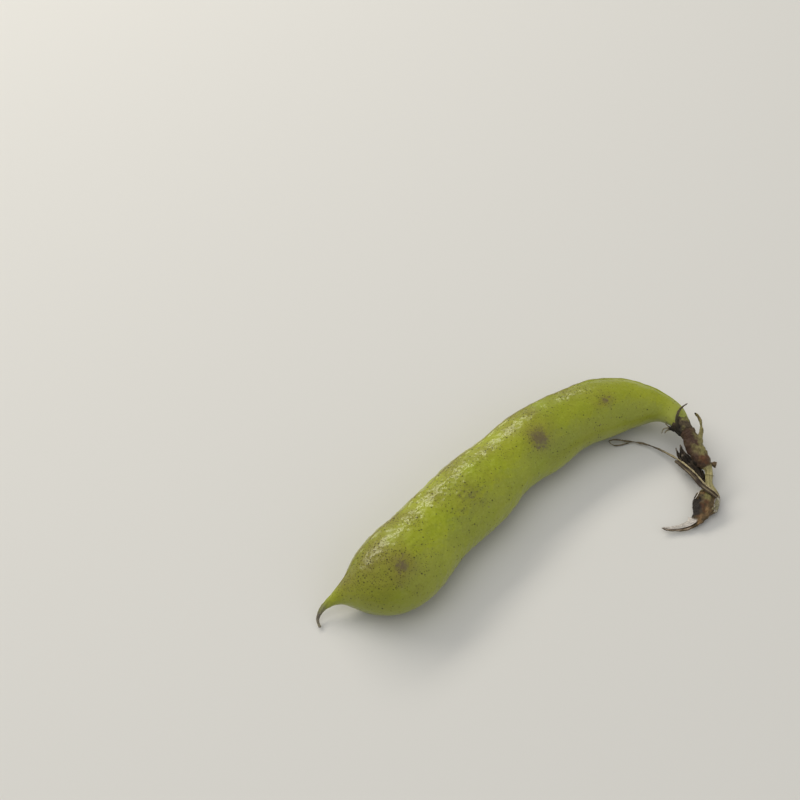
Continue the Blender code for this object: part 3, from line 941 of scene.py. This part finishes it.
# %% The long point and the dead threads
LONG_POINT_ROWS = (
    (130.4, -6.1, 8.7, 0.75, 0.35, 30),
    (130.4, -5.0, 9.9, 0.65, 0.35, 25),
    (130.8, -3.5, 11.2, 0.56, 0.33, 10),
    (132.2, -2.1, 12.2, 0.46, 0.3, 0),
    (134.1, -1.1, 12.5, 0.38, 0.25, 0),
    (135.9, -0.7, 12.6, 0.27, 0.22, 0),
    (137.7, -0.7, 12.9, 0.16, 0.14, 0),
)
DEAD_THREAD_ROWS = (
    (
        (130.2, -4.2, 7.2, 0.5, 0.45),
        (128.9, -2.6, 7.1, 0.24, 0.22),
        (127.4, -1.9, 6.2, 0.19, 0.19),
        (126.3, -2.7, 5.2, 0.15, 0.15),
    ),
    (
        (130.0, -4.6, 7.0, 0.55, 0.45),
        (129.2, -3.3, 6.6, 0.27, 0.22),
        (128.2, -2.8, 6.1, 0.2, 0.2),
        (127.1, -3.3, 5.4, 0.15, 0.15),
    ),
    (
        (130.1, -3.6, 7.4, 0.5, 0.4),
        (129.2, -2.4, 7.3, 0.26, 0.22),
        (129.0, -1.5, 7.4, 0.18, 0.18),
        (129.2, -0.6, 7.7, 0.13, 0.13),
    ),
)


def folded(points, along, turn):
    """A fold down the middle of the blade, and a little crumpling."""
    return -0.1 * bump_at(np.cos(turn), 0.0, 0.3) + layered(points, ((0.9, 0.12), (0.4, 0.06)), 41)


points, along, turn = tube(LONG_POINT_ROWS, rings=100, sides=22, relief=folded, taper=0.08)
blade = {
    "rim": 0.8 * np.clip(np.cos(turn), 0, 1) ** 4 * soft_step(along, 2.0, 5.0),
    "dark": soft_step(along, 9.0, 4.0) * 0.6,
    "fresh": 0.5 * bump_at(along, 4.0, 2.5),
}
skin("calyx_long_point", points, *SEPAL, marks=blade)
threads = [tube(rows, rings=40, sides=10, relief=folded, taper=0.1) for rows in DEAD_THREAD_ROWS]
points, along, turn = (np.array(values) for values in zip(*threads))
faded = soft_step(along, 1.0, 2.4)
thread_marks = {"rim": faded * 0.9, "dark": 1 - faded, "fresh": np.zeros(along.shape)}
skin("calyx_threads", points, *SEPAL, marks=thread_marks)

# %% [markdown]
# ## The stalk
#
# Below the calyx comes the pedicel, short, thick and knobbly, then a knuckle where the flowers
# stood, a thin ribbed stalk, and the heel where it was torn off the plant. A strip of skin came
# away with it and curls round in front, white inside. It all grew as one piece, so one tube with
# a changing relief is truer than several glued together.

# %% The stalk's middle line
STALK_ROWS = (
    (132.4, -7.75, 8.3, 2.5, 2.4, 0),
    (131.7, -10.8, 8.0, 2.6, 2.5, 0),
    (131.0, -13.1, 7.8, 2.75, 2.5, 0),
    (130.5, -15.9, 7.4, 2.85, 2.6, 0),
    (130.0, -18.4, 6.9, 2.9, 2.6, 0),
    (130.0, -20.4, 6.5, 2.4, 2.3, 0),
    (130.1, -21.8, 6.2, 1.6, 1.6, 0),
    (129.7, -23.3, 5.7, 1.2, 1.2, 0),
    (128.4, -25.1, 5.0, 1.15, 1.15, 0),
    (127.1, -26.9, 4.2, 1.3, 1.2, 0),
    (126.0, -28.5, 3.4, 2.8, 1.9, 0),
    (124.3, -30.1, 2.7, 4.1, 2.6, 0),
    (122.0, -31.2, 2.4, 4.3, 2.6, 0),
    (119.8, -32.5, 2.1, 3.3, 2.3, 0),
    (117.0, -34.1, 2.0, 2.0, 1.5, -10),
    (113.8, -34.7, 1.7, 1.6, 0.8, -20),
    (110.7, -34.2, 1.5, 1.4, 0.5, -25),
    (107.3, -32.9, 1.4, 0.95, 0.45, -20),
    (104.0, -30.8, 1.7, 0.4, 0.4, -10),
)
stalk_length = knots_of(np.array(STALK_ROWS))[-1]
print(f"stalk: {stalk_length:.0f} mm along its middle line")

# %% The stalk's relief
KNUCKLE, THIN_RING, HEEL, PEEL = 12.0, 17.6, 27.0, 35.5  # distances along the stalk, in mm


def stalk_relief(points, along, turn):
    """Knobs on the pedicel, the knuckle and the heel, creases round the pedicel's top and the
    knuckle, five ribs and a ring on the thin stalk, and on the peeled strip a deep groove beside
    its lower lip, fine lines along it and a small knob at its root."""
    degrees = np.degrees(turn)
    heel = soft_step(along, HEEL - 3.0, HEEL) * soft_step(along, 38.0, 34.0)
    thick = soft_step(along, 15.0, 13.0) + heel
    knobs = layered(points, ((2.4, 0.5), (1.2, 0.34), (0.6, 0.16)), 51) * thick
    wobble = along + 0.8 * lumps(points, 2.2, 57)
    creased = bump_at(along, 2.2, 1.6) + bump_at(along, KNUCKLE, 2.0)
    creases = -0.16 * np.clip(np.sin(wobble * 2 * math.pi / 1.3), 0, 1) ** 2 * creased
    shoulder = 0.12 * bump_at(along, 1.1, 0.8) + 0.25 * bump_at(along, KNUCKLE + 1.0, 1.6)
    thin = soft_step(along, 14.5, 16.0) * soft_step(along, HEEL - 2.5, HEEL - 4.5)
    ribs = thin * (0.14 * np.cos(5 * turn + 0.1 * along) + 0.22 * bump_at(wobble, THIN_RING, 0.3))
    peeled = soft_step(along, PEEL - 1.5, PEEL + 1.5)
    groove = -0.4 * bump_at(degrees, 66.0, 9.0) * peeled
    creasing = layered(points, ((1.6, 0.2), (0.6, 0.1)), 61)
    lines = peeled * (0.06 * np.cos(15 * turn + 0.3 * along) + creasing - 0.14)
    knob = 0.7 * bump_at(along, 37.0, 0.6) * bump_at(degrees, 178.0, 26.0)
    return knobs + creases + shoulder + ribs + groove + lines + knob


print("knuckle, thin ring, heel and peeled strip at", (KNUCKLE, THIN_RING, HEEL, PEEL), "mm")

# %% The torn heel, and the stalk's points
TORN_POINT = np.array([125.1, -34.0, 3.0])  # a point on the plane of the tear
TORN_NORMAL = unit(np.array([0.42, -0.72, 0.55]))


def torn(points, along):
    """The heel's points past the plane of the tear, moved back on to it and roughened with fibres,
    which are lumps that are long down the tear and short across it. Also how far past the plane
    each point was. A point above the heel counts as far short of the plane, and so stays."""
    past = np.where(along > HEEL - 4.0, (points - TORN_POINT) @ TORN_NORMAL, -10.0)
    fibres = layered(points * (1.0, 1.0, 0.4), ((0.8, 0.45), (0.4, 0.25)), 71)
    moved = points - np.maximum(past, 0.0)[..., None] * TORN_NORMAL
    return moved + (soft_step(past, -0.2, 0.25) * fibres)[..., None] * TORN_NORMAL, past


stalk_points, stalk_along, stalk_turn = tube(
    STALK_ROWS, rings=380, sides=96, relief=stalk_relief, taper=0.02,
)
stalk_points, past_tear = torn(stalk_points, stalk_along)
stalk_points[..., 2] = np.maximum(stalk_points[..., 2], 0.0)  # nothing sinks into the table
print("stalk:", stalk_points.shape, "torn points:", int((past_tear > 0).sum()))

# %% [markdown]
# ### Stalk skin
#
# Fresh stalk skin is satin and olive. It turns purple and red-brown where it was bruised and
# grey-black where it dried, and where the skin is gone the pith is pale and quite matt. The same
# grey-black is also painted shade, in the groove and on the underside of the peeled strip and on
# the floors of the broken ends' cups. The patches below are listed each by its distance along the
# stalk and its angle.

# %% Patches of the stalk
STALK_PATCHES = {  # distance along, angle in degrees, radius in mm, strength
    "green": (
        (2.6, 60, 1.2, 0.8), (5.0, 35, 2.6, 1.0), (8.2, 62, 2.3, 1.0), (9.6, 78, 1.6, 0.9),
        (6.6, 122, 1.0, 0.6), (8.2, 130, 1.2, 0.7), (7.0, 0, 3.0, 0.9), (10.6, 20, 1.6, 0.6),
        (26.6, 92, 1.6, 1.0), (24.6, 110, 1.0, 0.9),
    ),
    "purple": (
        (1.6, 124, 2.4, 0.9), (3.8, 118, 2.2, 1.0), (5.4, 92, 1.6, 0.9), (3.0, 165, 2.4, 1.0),
        (7.0, 160, 1.8, 0.6), (10.6, 165, 2.2, 1.0), (12.6, 140, 1.6, 0.9), (6.0, 230, 4.0, 1.0),
        (12.0, 240, 3.0, 1.0), (0.5, 60, 0.7, 0.7),
    ),
    "rust": (
        (11.6, 104, 1.7, 0.9), (12.6, 79, 1.3, 1.0), (13.4, 96, 1.2, 1.0), (11.8, 40, 1.4, 0.7),
        (12.2, 0, 1.6, 0.7), (28.6, 88, 1.3, 0.7), (30.5, 96, 1.7, 0.9), (31.9, 76, 1.4, 0.8),
        (25.4, 116, 0.7, 0.8), (34.0, 96, 1.0, 0.8),
    ),
    "tan": (
        (30.6, 60, 1.5, 0.7), (33.6, 72, 1.3, 0.9), (35.2, 52, 1.4, 1.0), (25.8, 124, 0.7, 0.9),
        (32.2, 50, 1.0, 0.9),
    ),
    "dried": (
        (28.4, 124, 1.8, 0.9), (29.2, 152, 2.5, 1.0), (31.4, 132, 2.3, 0.9), (33.6, 160, 2.2, 1.0),
        (27.2, 112, 0.7, 0.8), (30.0, 195, 3.2, 1.0), (33.0, 225, 2.4, 1.0), (11.4, 185, 1.4, 0.9),
    ),
}


print("patches:", {name: len(spots) for name, spots in STALK_PATCHES.items()})

# %% Marks of the stalk
def stalk_marks(points, along, turn, past):
    """The listed patches, and the marks that follow from the shape: the pale thin stalk with its
    dark ring, the torn face with its white rim, and the two sides of the peeled strip, with
    painted shade in its groove and underneath and a painted highlight along its lip."""
    degrees = np.degrees(turn)
    wobble = along + 0.7 * lumps(points, 1.6, 81)
    peeled = soft_step(wobble, PEEL - 0.6, PEEL + 1.2)
    inner = soft_step(degrees, 72, 84) * soft_step(degrees, 205, 190)
    # the lip: tan, with half white over it as a painted highlight along its lower edge
    lip = bump_at(degrees, 46, 14) * soft_step(along, PEEL + 1.0, PEEL + 3.0)
    masks = {
        name: patches(points, along, spots, 82 + k)
        for k, (name, spots) in enumerate(STALK_PATCHES.items())
    }
    # painted shade: the darkest coat goes along the strip's groove and on its underside
    groove = bump_at(degrees, 66, 7) + 0.7 * soft_step(degrees, 215, 240) * soft_step(along, 46, 42)
    ring = bump_at(wobble, THIN_RING, 0.25) * 0.5
    masks["dried"] = np.maximum.reduce([masks["dried"], peeled * groove * 0.9, ring])
    masks["tan"] = np.maximum(masks["tan"], lip)
    masks["straw"] = soft_step(wobble, 13.8, 15.0) * soft_step(wobble, 24.5, 22.5)
    masks["pith"] = soft_step(past, 0.0, 0.3)
    rim = bump_at(past, -0.08, 0.18) * soft_step(along, PEEL, 30.0)
    streaks = 0.6 * soft_step(lumps(points * (1.0, 1.0, 0.5), 0.7, 89), 0.0, 0.5) * masks["pith"]
    # white: the bare inner side, the lip's painted highlight, the torn face's pale rim and pith
    # streaks
    masks["white"] = np.maximum.reduce([peeled * inner, lip * 0.5, rim * 0.68, streaks])
    return masks


stalk_masks = stalk_marks(stalk_points, stalk_along, stalk_turn, past_tear)
print("marks:", ", ".join(stalk_masks))

# %% [markdown]
# The finish is the fibrous one again, with a coat for each of these marks. Their order counts:
# what was hurt lies over what is fresh, and the white of the bare inner side lies over all.

# %% Finish of the stalk, and the stalk
def bruised_stalk_skin():
    """Dull brown, and on it each of the eight marks in its own colour. The darkest is partly
    painted shade, and the white partly a painted highlight.
    """
    return fibrous(
        "Bruised stalk skin", "#594a31",
        (
            ("#80784a", "green"), ("#433024", "purple"), ("#5c3d26", "rust"), ("#876b47", "tan"),
            ("#9f9566", "straw"), ("#241e19", "dried"), ("#a09a78", "pith"), ("#cfc7bc", "white"),
        ),
        grain=(3.0, 0.4), roughness=0.6, bump=0.4, contrast=0.42,
    )


BARK = (bruised_stalk_skin(), "stalk_skin", "stalk")  # finish, slot and the solid replaced
skin("stalk_skin", stalk_points, *BARK, marks=stalk_masks)

# %% [markdown]
# A green bract stands beside the pedicel like a horn. It is a small leaf, folded along its middle,
# with a dry tip. A leaf could be a thin sheet, but this one is so narrow and so tightly folded
# that a tube with a crease along its inner side has the same look, and it is closed all round.

# %% The bract
BRACT_ROWS = (
    (131.0, -14.8, 7.4, 1.6, 1.5),
    (133.9, -12.7, 7.6, 1.35, 0.9),
    (135.8, -11.0, 8.0, 1.0, 0.7),
    (137.5, -9.3, 8.6, 0.65, 0.5),
    (138.6, -7.1, 9.4, 0.6, 0.45),
    (138.8, -5.4, 10.2, 0.5, 0.4),
    (138.3, -4.1, 10.9, 0.3, 0.3),
)


def plain_marks(shape):
    """Masks for a piece of stalk skin that has none of the marks yet."""
    return {name: np.zeros(shape) for name in stalk_masks}


def bract_relief(points, along, turn):
    """A crease on the inner side, where the bract is folded, and soft lumps."""
    crease = -0.25 * bump_at(np.cos(turn), 1.0, 0.35) * soft_step(along, 2, 6)
    return crease + layered(points, ((1.4, 0.22), (0.6, 0.1)), 91)


points, along, turn = tube(BRACT_ROWS, rings=110, sides=36, relief=bract_relief, taper=0.06)
leaf = plain_marks(along.shape)
leaf["green"] = 0.75 + 0.25 * lumps(points, 1.5, 92)
leaf["dried"] = soft_step(along, 13.4, 15.0)
leaf["purple"] = 0.8 * bump_at(along, 7.6, 0.9) * np.clip(-np.cos(turn), 0, 1)
leaf["tan"] = 0.5 * bump_at(along, 12.4, 1.2)
skin("bract", points, *BARK, marks=leaf)

# %% [markdown]
# Two broken ends stand on the stalk: the stub of a fallen flower on the knuckle, and a larger scar
# on the heel. A stem that snaps leaves a shallow cup with a rough rim. The tube's last ring is
# simply repeated inside itself, smaller and lower each time.

# %% Stub and scar
STUB_ROWS = (
    (130.4, -20.6, 6.6, 1.0, 1.0),
    (131.6, -21.6, 6.7, 0.7, 0.7),
    (132.3, -22.4, 6.8, 0.95, 0.95),
    (132.8, -23.0, 6.8, 1.05, 1.05),
)
SCAR_ROWS = (
    (122.6, -30.4, 3.0, 1.8, 1.6),
    (121.7, -29.0, 3.5, 1.6, 1.4),
    (121.0, -27.8, 3.8, 1.5, 1.3),
)
END_RINGS, END_SIDES = 30, 32
CUP = (  # rings inside the rim: share of the last ring's size, height over it in mm, paleness
    (0.9, 0.12, 1.0),
    (0.78, 0.05, 0.8),
    (0.68, -0.3, 0.0),
    (0.4, -0.5, 0.0),
    (0.08, -0.55, 0.0),
)
# painted shade: from this ring on, the cup's floor takes the darkest coat
CUP_FLOOR = END_RINGS + 3  # the first ring of the cup's dark floor


def broken_end(rows, seed):
    """A short tube whose last ring is repeated inside itself, smaller and lower, which leaves a
    shallow cup with a rough rim. The second result is 1 on the rim and 0 elsewhere."""
    def rough(points, along, turn):
        """Lumps of two sizes."""
        return layered(points, ((1.0, 0.3), (0.5, 0.16)), seed)

    points = tube(rows, END_RINGS, END_SIDES, rough)[0]
    middle = points[-1].mean(axis=0)
    axis = unit(middle - points[-4].mean(axis=0))
    cup = [middle + (points[-1] - middle) * shrink + axis * rise for shrink, rise, _ in CUP]
    rim = np.concatenate([np.zeros(END_RINGS - 2), [0.5, 1.0], [pale for _, _, pale in CUP]])
    return np.concatenate([points, cup]), rim[:, None] * np.ones(END_SIDES)


ENDS = (  # name, rows, how dry its side is, seed
    ("flower_stub", STUB_ROWS, 0.5, 101),
    ("pod_scar", SCAR_ROWS, 0.0, 111),
)
for name, rows, side_dry, seed in ENDS:
    points, rim = broken_end(rows, seed)
    end = plain_marks(rim.shape)
    end["white"] = rim * 0.75
    end["tan"] = np.clip(0.4 - rim + 0.5 * lumps(points, 0.8, seed), 0, 1)
    # the darkest coat: the flower stub's dry side, and each cup's floor as painted shade
    end["dried"] = np.maximum(side_dry * (1 - rim), np.arange(len(points))[:, None] >= CUP_FLOOR)
    skin(name, points, *BARK, marks=end)

# %% [markdown]
# A tear shows loose fibres. They are too thin for the solid, so each is a fine tapering tube of a
# few faces that starts inside the torn face and leans out of it at random.

# %% Loose fibres
FIBRES, FIBRE_RINGS, FIBRE_SIDES = 60, 7, 5
TORN_MIDDLE = np.array([123.4, -33.6, 3.2])
ABOVE_TABLE = 0.02  # the lowest a fibre may hang, in mm


def loose_fibres():
    """Short curved threads from points just inside the torn face. Each bends, as the square of
    the way along it, from the face's own direction towards a random one, and thins to a fifth."""
    draw = np.random.default_rng(8)
    side = unit(np.cross(TORN_NORMAL, [0.0, 0.0, 1.0]))
    down = np.cross(TORN_NORMAL, side)
    spread = draw.uniform(-1, 1, (FIBRES, 2)) * (2.4, 1.3)
    root = TORN_MIDDLE + spread[:, :1] * side + spread[:, 1:] * down
    root = root - ((root - TORN_POINT) @ TORN_NORMAL + 0.3)[:, None] * TORN_NORMAL
    lean = draw.uniform(-1, 1, (FIBRES, 3)) * 0.6
    length = draw.uniform(0.45, 1.0, (FIBRES, 1, 1))
    thick = draw.uniform(0.06, 0.12, (FIBRES, 1, 1, 1))
    step = np.linspace(0, 1, FIBRE_RINGS)[:, None]
    line = root[:, None] + length * (step * TORN_NORMAL + step**2 * lean[:, None])
    angle = angles_round(FIBRE_SIDES)[:, None]
    ring = np.cos(angle) * side + np.sin(angle) * down
    return line[:, :, None] + thick * (1 - 0.8 * step[:, None]) * ring


fibres = loose_fibres()
fibres[..., 2] = np.maximum(fibres[..., 2], ABOVE_TABLE)
loose = plain_marks(fibres.shape[:3])
loose["pith"] = np.ones(fibres.shape[:3])
skin("torn_fibres", fibres, *BARK, marks=loose)

# %% [markdown]
# ## The withered flower
#
# A broad bean flower that sets no pod dies on the stalk. Its petals collapse into a dark, crumpled
# twist. A petal is a sheet, so here each one is a sheet as well: a strip along a bent line, thrown
# into folds, with a Solidify modifier for its thin wall.

# %% Crumpled petals
PETAL_ROWS = (  # the middle line of each petal with its half widths
    (
        (127.4, -23.6, 3.4, 0.7), (127.6, -21.2, 3.6, 1.5), (127.7, -18.2, 3.9, 2.1),
        (127.4, -15.2, 4.1, 2.2), (127.5, -13.2, 4.6, 1.7), (128.1, -11.3, 5.3, 0.7),
        (128.4, -9.8, 6.0, 0.15),
    ),
    (
        (127.6, -20.5, 3.3, 0.9), (127.1, -17.6, 3.6, 1.6), (126.8, -14.6, 3.8, 1.5),
        (126.7, -12.8, 4.0, 1.2), (126.6, -11.2, 4.4, 0.5), (127.0, -9.7, 5.1, 0.15),
    ),
    (
        (128.2, -17.6, 3.7, 1.0), (128.3, -20.0, 3.3, 2.0), (128.2, -22.6, 2.9, 2.1),
        (128.2, -25.0, 2.5, 1.2), (128.2, -26.0, 2.4, 0.4),
    ),
    (
        (127.9, -22.0, 3.9, 0.8), (127.9, -19.2, 4.5, 1.6), (127.6, -16.4, 4.8, 1.6),
        (127.2, -14.2, 4.7, 1.0), (126.9, -12.9, 4.5, 0.3),
    ),
)
PETAL_FOLDS = (3.0, 2.0, 2.5, 2.5)  # waves from edge to edge
PETAL_RINGS, PETAL_SIDES = 80, 45
PETAL_WALL = 0.22  # in mm


def petal(rows, folds, seed):
    """A strip across a bent line. The first parameter runs along it and the second from edge to
    edge. Waves of the second parameter, shifting along the first, throw it into folds, its edges
    roll under, and lumps crumple it. The second result is 1 at the edges and at the tip."""
    along, here, forward, level = middle_line(rows, PETAL_RINGS)
    length = along[-1]
    wide, high = level[:, None], np.cross(forward, level)[:, None]
    along, across = along[:, None], np.linspace(-1, 1, PETAL_SIDES)[None]
    half = np.maximum(here[:, 3:4], 0.1)
    waves = 0.3 * np.sin(folds * math.pi * across + 0.35 * along + seed)
    height = half * (waves - 0.45 * across**4)
    reach = half * (across - 0.12 * across**3)
    grid = here[:, None, :3] + reach[..., None] * wide + height[..., None] * high
    grid = grid + layered(grid, ((1.7, 0.6), (0.8, 0.35), (0.4, 0.15)), seed)[..., None] * high
    tip = soft_step(along / length, 0.85, 1.0)
    return grid, np.maximum(0.6 * soft_step(np.abs(across), 0.88, 1.0), tip)


print("petals:", len(PETAL_ROWS), "with", PETAL_FOLDS, "waves across them")

# %% [markdown]
# ### Dead petal
#
# A petal that died on the plant has lost its water and its colour. It is a thin brown-black film,
# matt. Its darker patches are painted shade meant for its hollows, but a mask of random lumps
# places them, so they don't follow the folds. The distance from the edge gives a pale rim along
# the edges and the tip, a painted highlight where an edge curls up and catches the light.

# %% Finish of the petals, and the petals
def dead_petal():
    """Brown-black, with painted shade in random patches and a painted highlight along the edges."""
    return fibrous(
        "Dead petal", "#483e33", (("#29241f", "painted_shade_patches"), ("#766c5f", "edge")),
        grain=(3.0, 0.35), roughness=0.8, bump=0.35, contrast=0.6,
    )


PETAL = (dead_petal(), "withered_petal", "withered_flower")
for number, (rows, folds) in enumerate(zip(PETAL_ROWS, PETAL_FOLDS)):
    grid, edge = petal(rows, folds, 121 + 10 * number)
    # painted shade in random patches, and a painted highlight along the edges and the tip
    tint = {"painted_shade_patches": np.clip(0.4 + lumps(grid, 1.3, 171), 0, 1), "edge": edge}
    sheet = skin(f"petal_{number + 1}", grid, *PETAL, wrap=False, marks=tint)
    wall = sheet.modifiers.new("Thin wall", "SOLIDIFY")
    wall.thickness = PETAL_WALL * MM
    wall.offset = 0.0

# %% [markdown]
# ## The dried tip of the flower stem
#
# The flower stem went on past the last flower and dried to a pale cord that thins to a thread and
# folds back at its end. Along its first half a torn strip of brown skin hangs on. Drying pulls a
# stem in between its fibres, so both have deep grooves along them. They are waves of the angle,
# and they twist slowly, because no stem dries quite straight.

# %% The dried cord and its strip of skin
CORD_ROWS = (
    (125.9, -32.8, 5.9, 0.36, 0.36),
    (125.4, -30.6, 6.5, 0.36, 0.36),
    (124.8, -27.0, 6.3, 0.36, 0.36),
    (125.3, -22.0, 5.6, 0.36, 0.36),
    (125.5, -16.9, 4.5, 0.38, 0.36),
    (125.3, -12.4, 3.3, 0.42, 0.38),
    (124.3, -7.4, 1.9, 0.42, 0.4),
    (122.3, -2.6, 1.3, 0.38, 0.36),
    (119.4, 1.0, 1.0, 0.35, 0.33),
    (115.8, 3.6, 1.4, 0.3, 0.28),
    (112.6, 5.5, 2.1, 0.26, 0.25),
    (110.7, 5.9, 2.0, 0.24, 0.24),
    (111.3, 4.7, 1.2, 0.22, 0.22),
    (114.6, 3.1, 0.7, 0.2, 0.2),
    (117.3, 2.4, 0.6, 0.16, 0.16),
)
STRIP_ROWS = (
    (125.2, -32.6, 5.7, 0.75, 0.3),
    (124.6, -30.4, 6.1, 0.85, 0.3),
    (123.9, -27.0, 5.9, 0.95, 0.3),
    (124.3, -21.8, 5.1, 1.0, 0.28),
    (124.6, -16.9, 4.0, 0.95, 0.26),
    (124.6, -14.2, 3.4, 0.85, 0.25),
    (124.4, -12.7, 3.1, 0.7, 0.22),
)


def dried_grooves(points, along, turn):
    """Seven grooves that twist along the piece, with lumps of two sizes."""
    grooves = -0.1 * np.abs(np.sin(3.5 * turn + 0.12 * along)) ** 0.7
    return grooves + layered(points, ((1.9, 0.16), (0.7, 0.1)), 161)


print("cord:", len(CORD_ROWS), "stations, strip:", len(STRIP_ROWS))

# %% [markdown]
# ### Dry straw
#
# Dead stem tissue is a bundle of bleached fibres, like straw. The cord is painted pale on the side
# that faces up, a painted highlight, and grey-brown underneath, painted shade, and the strip beside
# it is darker, because it is still covered by its skin. The grain of long thin streaks runs along
# both, and it is slightly dull.

# %% Finish of the cord and the strip, and both pieces
def dry_straw():
    """Grey-brown with pale and dark marks, which on the cord are a painted highlight on top and
    painted shade underneath, and the longest and thinnest grain of all.
    """
    return fibrous(
        "Dry straw", "#56493a", (("#a29573", "pale"), ("#362d25", "dark")),
        grain=(5.0, 0.3), roughness=0.72, bump=0.25, contrast=0.55,
    )


STRAW = (dry_straw(), "dry_straw", "dried_stem_tip")
points, along, turn = tube(CORD_ROWS, rings=420, sides=26, relief=dried_grooves, taper=0.02)
# painted light: the cord paler on top, painted shade underneath; its far end is pale all round
upper = np.clip(0.35 + 0.8 * np.sin(turn), 0, 1) * soft_step(along, 34.0, 22.0) * 0.8
tint = {
    "pale": upper + 0.4 * soft_step(along, 28.0, 36.0),
    "dark": np.clip(-np.sin(turn) - 0.2, 0, 1) * 0.8,
}
skin("dried_cord", points, *STRAW, marks=tint)
points, along, turn = tube(STRIP_ROWS, rings=150, sides=34, relief=dried_grooves, taper=0.02)
tint = {
    "pale": 0.7 * bump_at(np.degrees(turn), 70, 16),
    "dark": 0.5 + 0.5 * lumps(points * (1.0, 0.3, 1.0), 0.9, 165),
}
skin("dried_strip", points, *STRAW, marks=tint)

# %% [markdown]
# ## The table
#
# A pale, plain table keeps the eye on the pod and shows its shadow. Paper on a studio table is
# quite matt, so one colour without a pattern is true to it. It is a disc of one face.

# %% Table
TABLE_RADIUS = 3.0  # in metres, far past the edges of the view
TABLE_SIDES = 96
TABLE_DROP = 0.02 * MM  # a hair below the pod, so that no two faces share a plane


def table():
    """A flat disc, far larger than the view, just under the pod."""
    turn = angles_round(TABLE_SIDES)
    rim = TABLE_RADIUS * np.stack([np.cos(turn), np.sin(turn), np.zeros(TABLE_SIDES)], axis=-1)
    rim[:, 2] = -TABLE_DROP
    mesh = bpy.data.meshes.new("table")
    mesh.from_pydata(rim, [], [list(range(TABLE_SIDES))])
    matt = new_finish("Pale matt table", Base_Color=linear("#d6d4ce"), Roughness=0.9)[0]
    mesh.materials.append(matt)
    top = put_in_scene("table", mesh)


table()
print("table:", 2 * TABLE_RADIUS, "m across")

# %% [markdown]
# ## The light
#
# The skin is waxy, so the lamps are seen in it. A long soft box behind the pod draws one broken
# highlight along its upper back, and two wide ones light the rest. The one above is kept out of
# reflections, as a polarising filter does it in a studio, because its wide pale image would veil
# the skin's colour and its specks. A dim, even surround keeps the shadows soft.

# %% Lamps and surround
LAMPS = (  # name, place in metres, width, height, power in watts, colour, mirrored in the skin
    ("back box", (-0.15, 1.1, 0.8), 1.7, 0.28, 11.8, "#fffaf0", True),
    ("top box", (-0.4, 0.4, 1.5), 2.2, 1.8, 12.6, "#ffffff", False),
    ("front fill", (0.65, -1.15, 0.8), 2.4, 1.6, 4.6, "#fbfcff", True),
)
SURROUND = 0.33


def add_lamp(name, place, width, height, power, colour, mirrored):
    """A flat rectangular lamp at its place, facing the pod: its own -Z axis is turned on to the
    line from the lamp to the middle of the table."""
    data = bpy.data.lights.new(name, "AREA")
    data.shape, data.size, data.size_y = "RECTANGLE", width, height
    data.energy = power
    data.color = linear(colour)[:3]
    lamp = put_in_scene(name, data)
    x, y, z = place
    lamp.location = place
    lamp.rotation_euler = (math.atan2(math.hypot(x, y), z), 0.0, math.atan2(y, x) + math.pi / 2)
    lamp.visible_glossy = mirrored


def add_surround(colour, strength):
    """The same faint light from every side, which is what a world's background gives."""
    room = bpy.data.worlds.new("soft room")
    room.use_nodes = True
    background = room.node_tree.nodes["Background"]
    connect(room.node_tree, background, {"Color": linear(colour), "Strength": strength})
    bpy.context.scene.world = room


for lamp in LAMPS:
    add_lamp(*lamp)
add_surround("#f2f4f6", SURROUND)
bpy.context.scene.view_settings.view_transform = "Standard"  # shows the colours as they are given
print("lamps:", ", ".join(name for name, *_ in LAMPS))
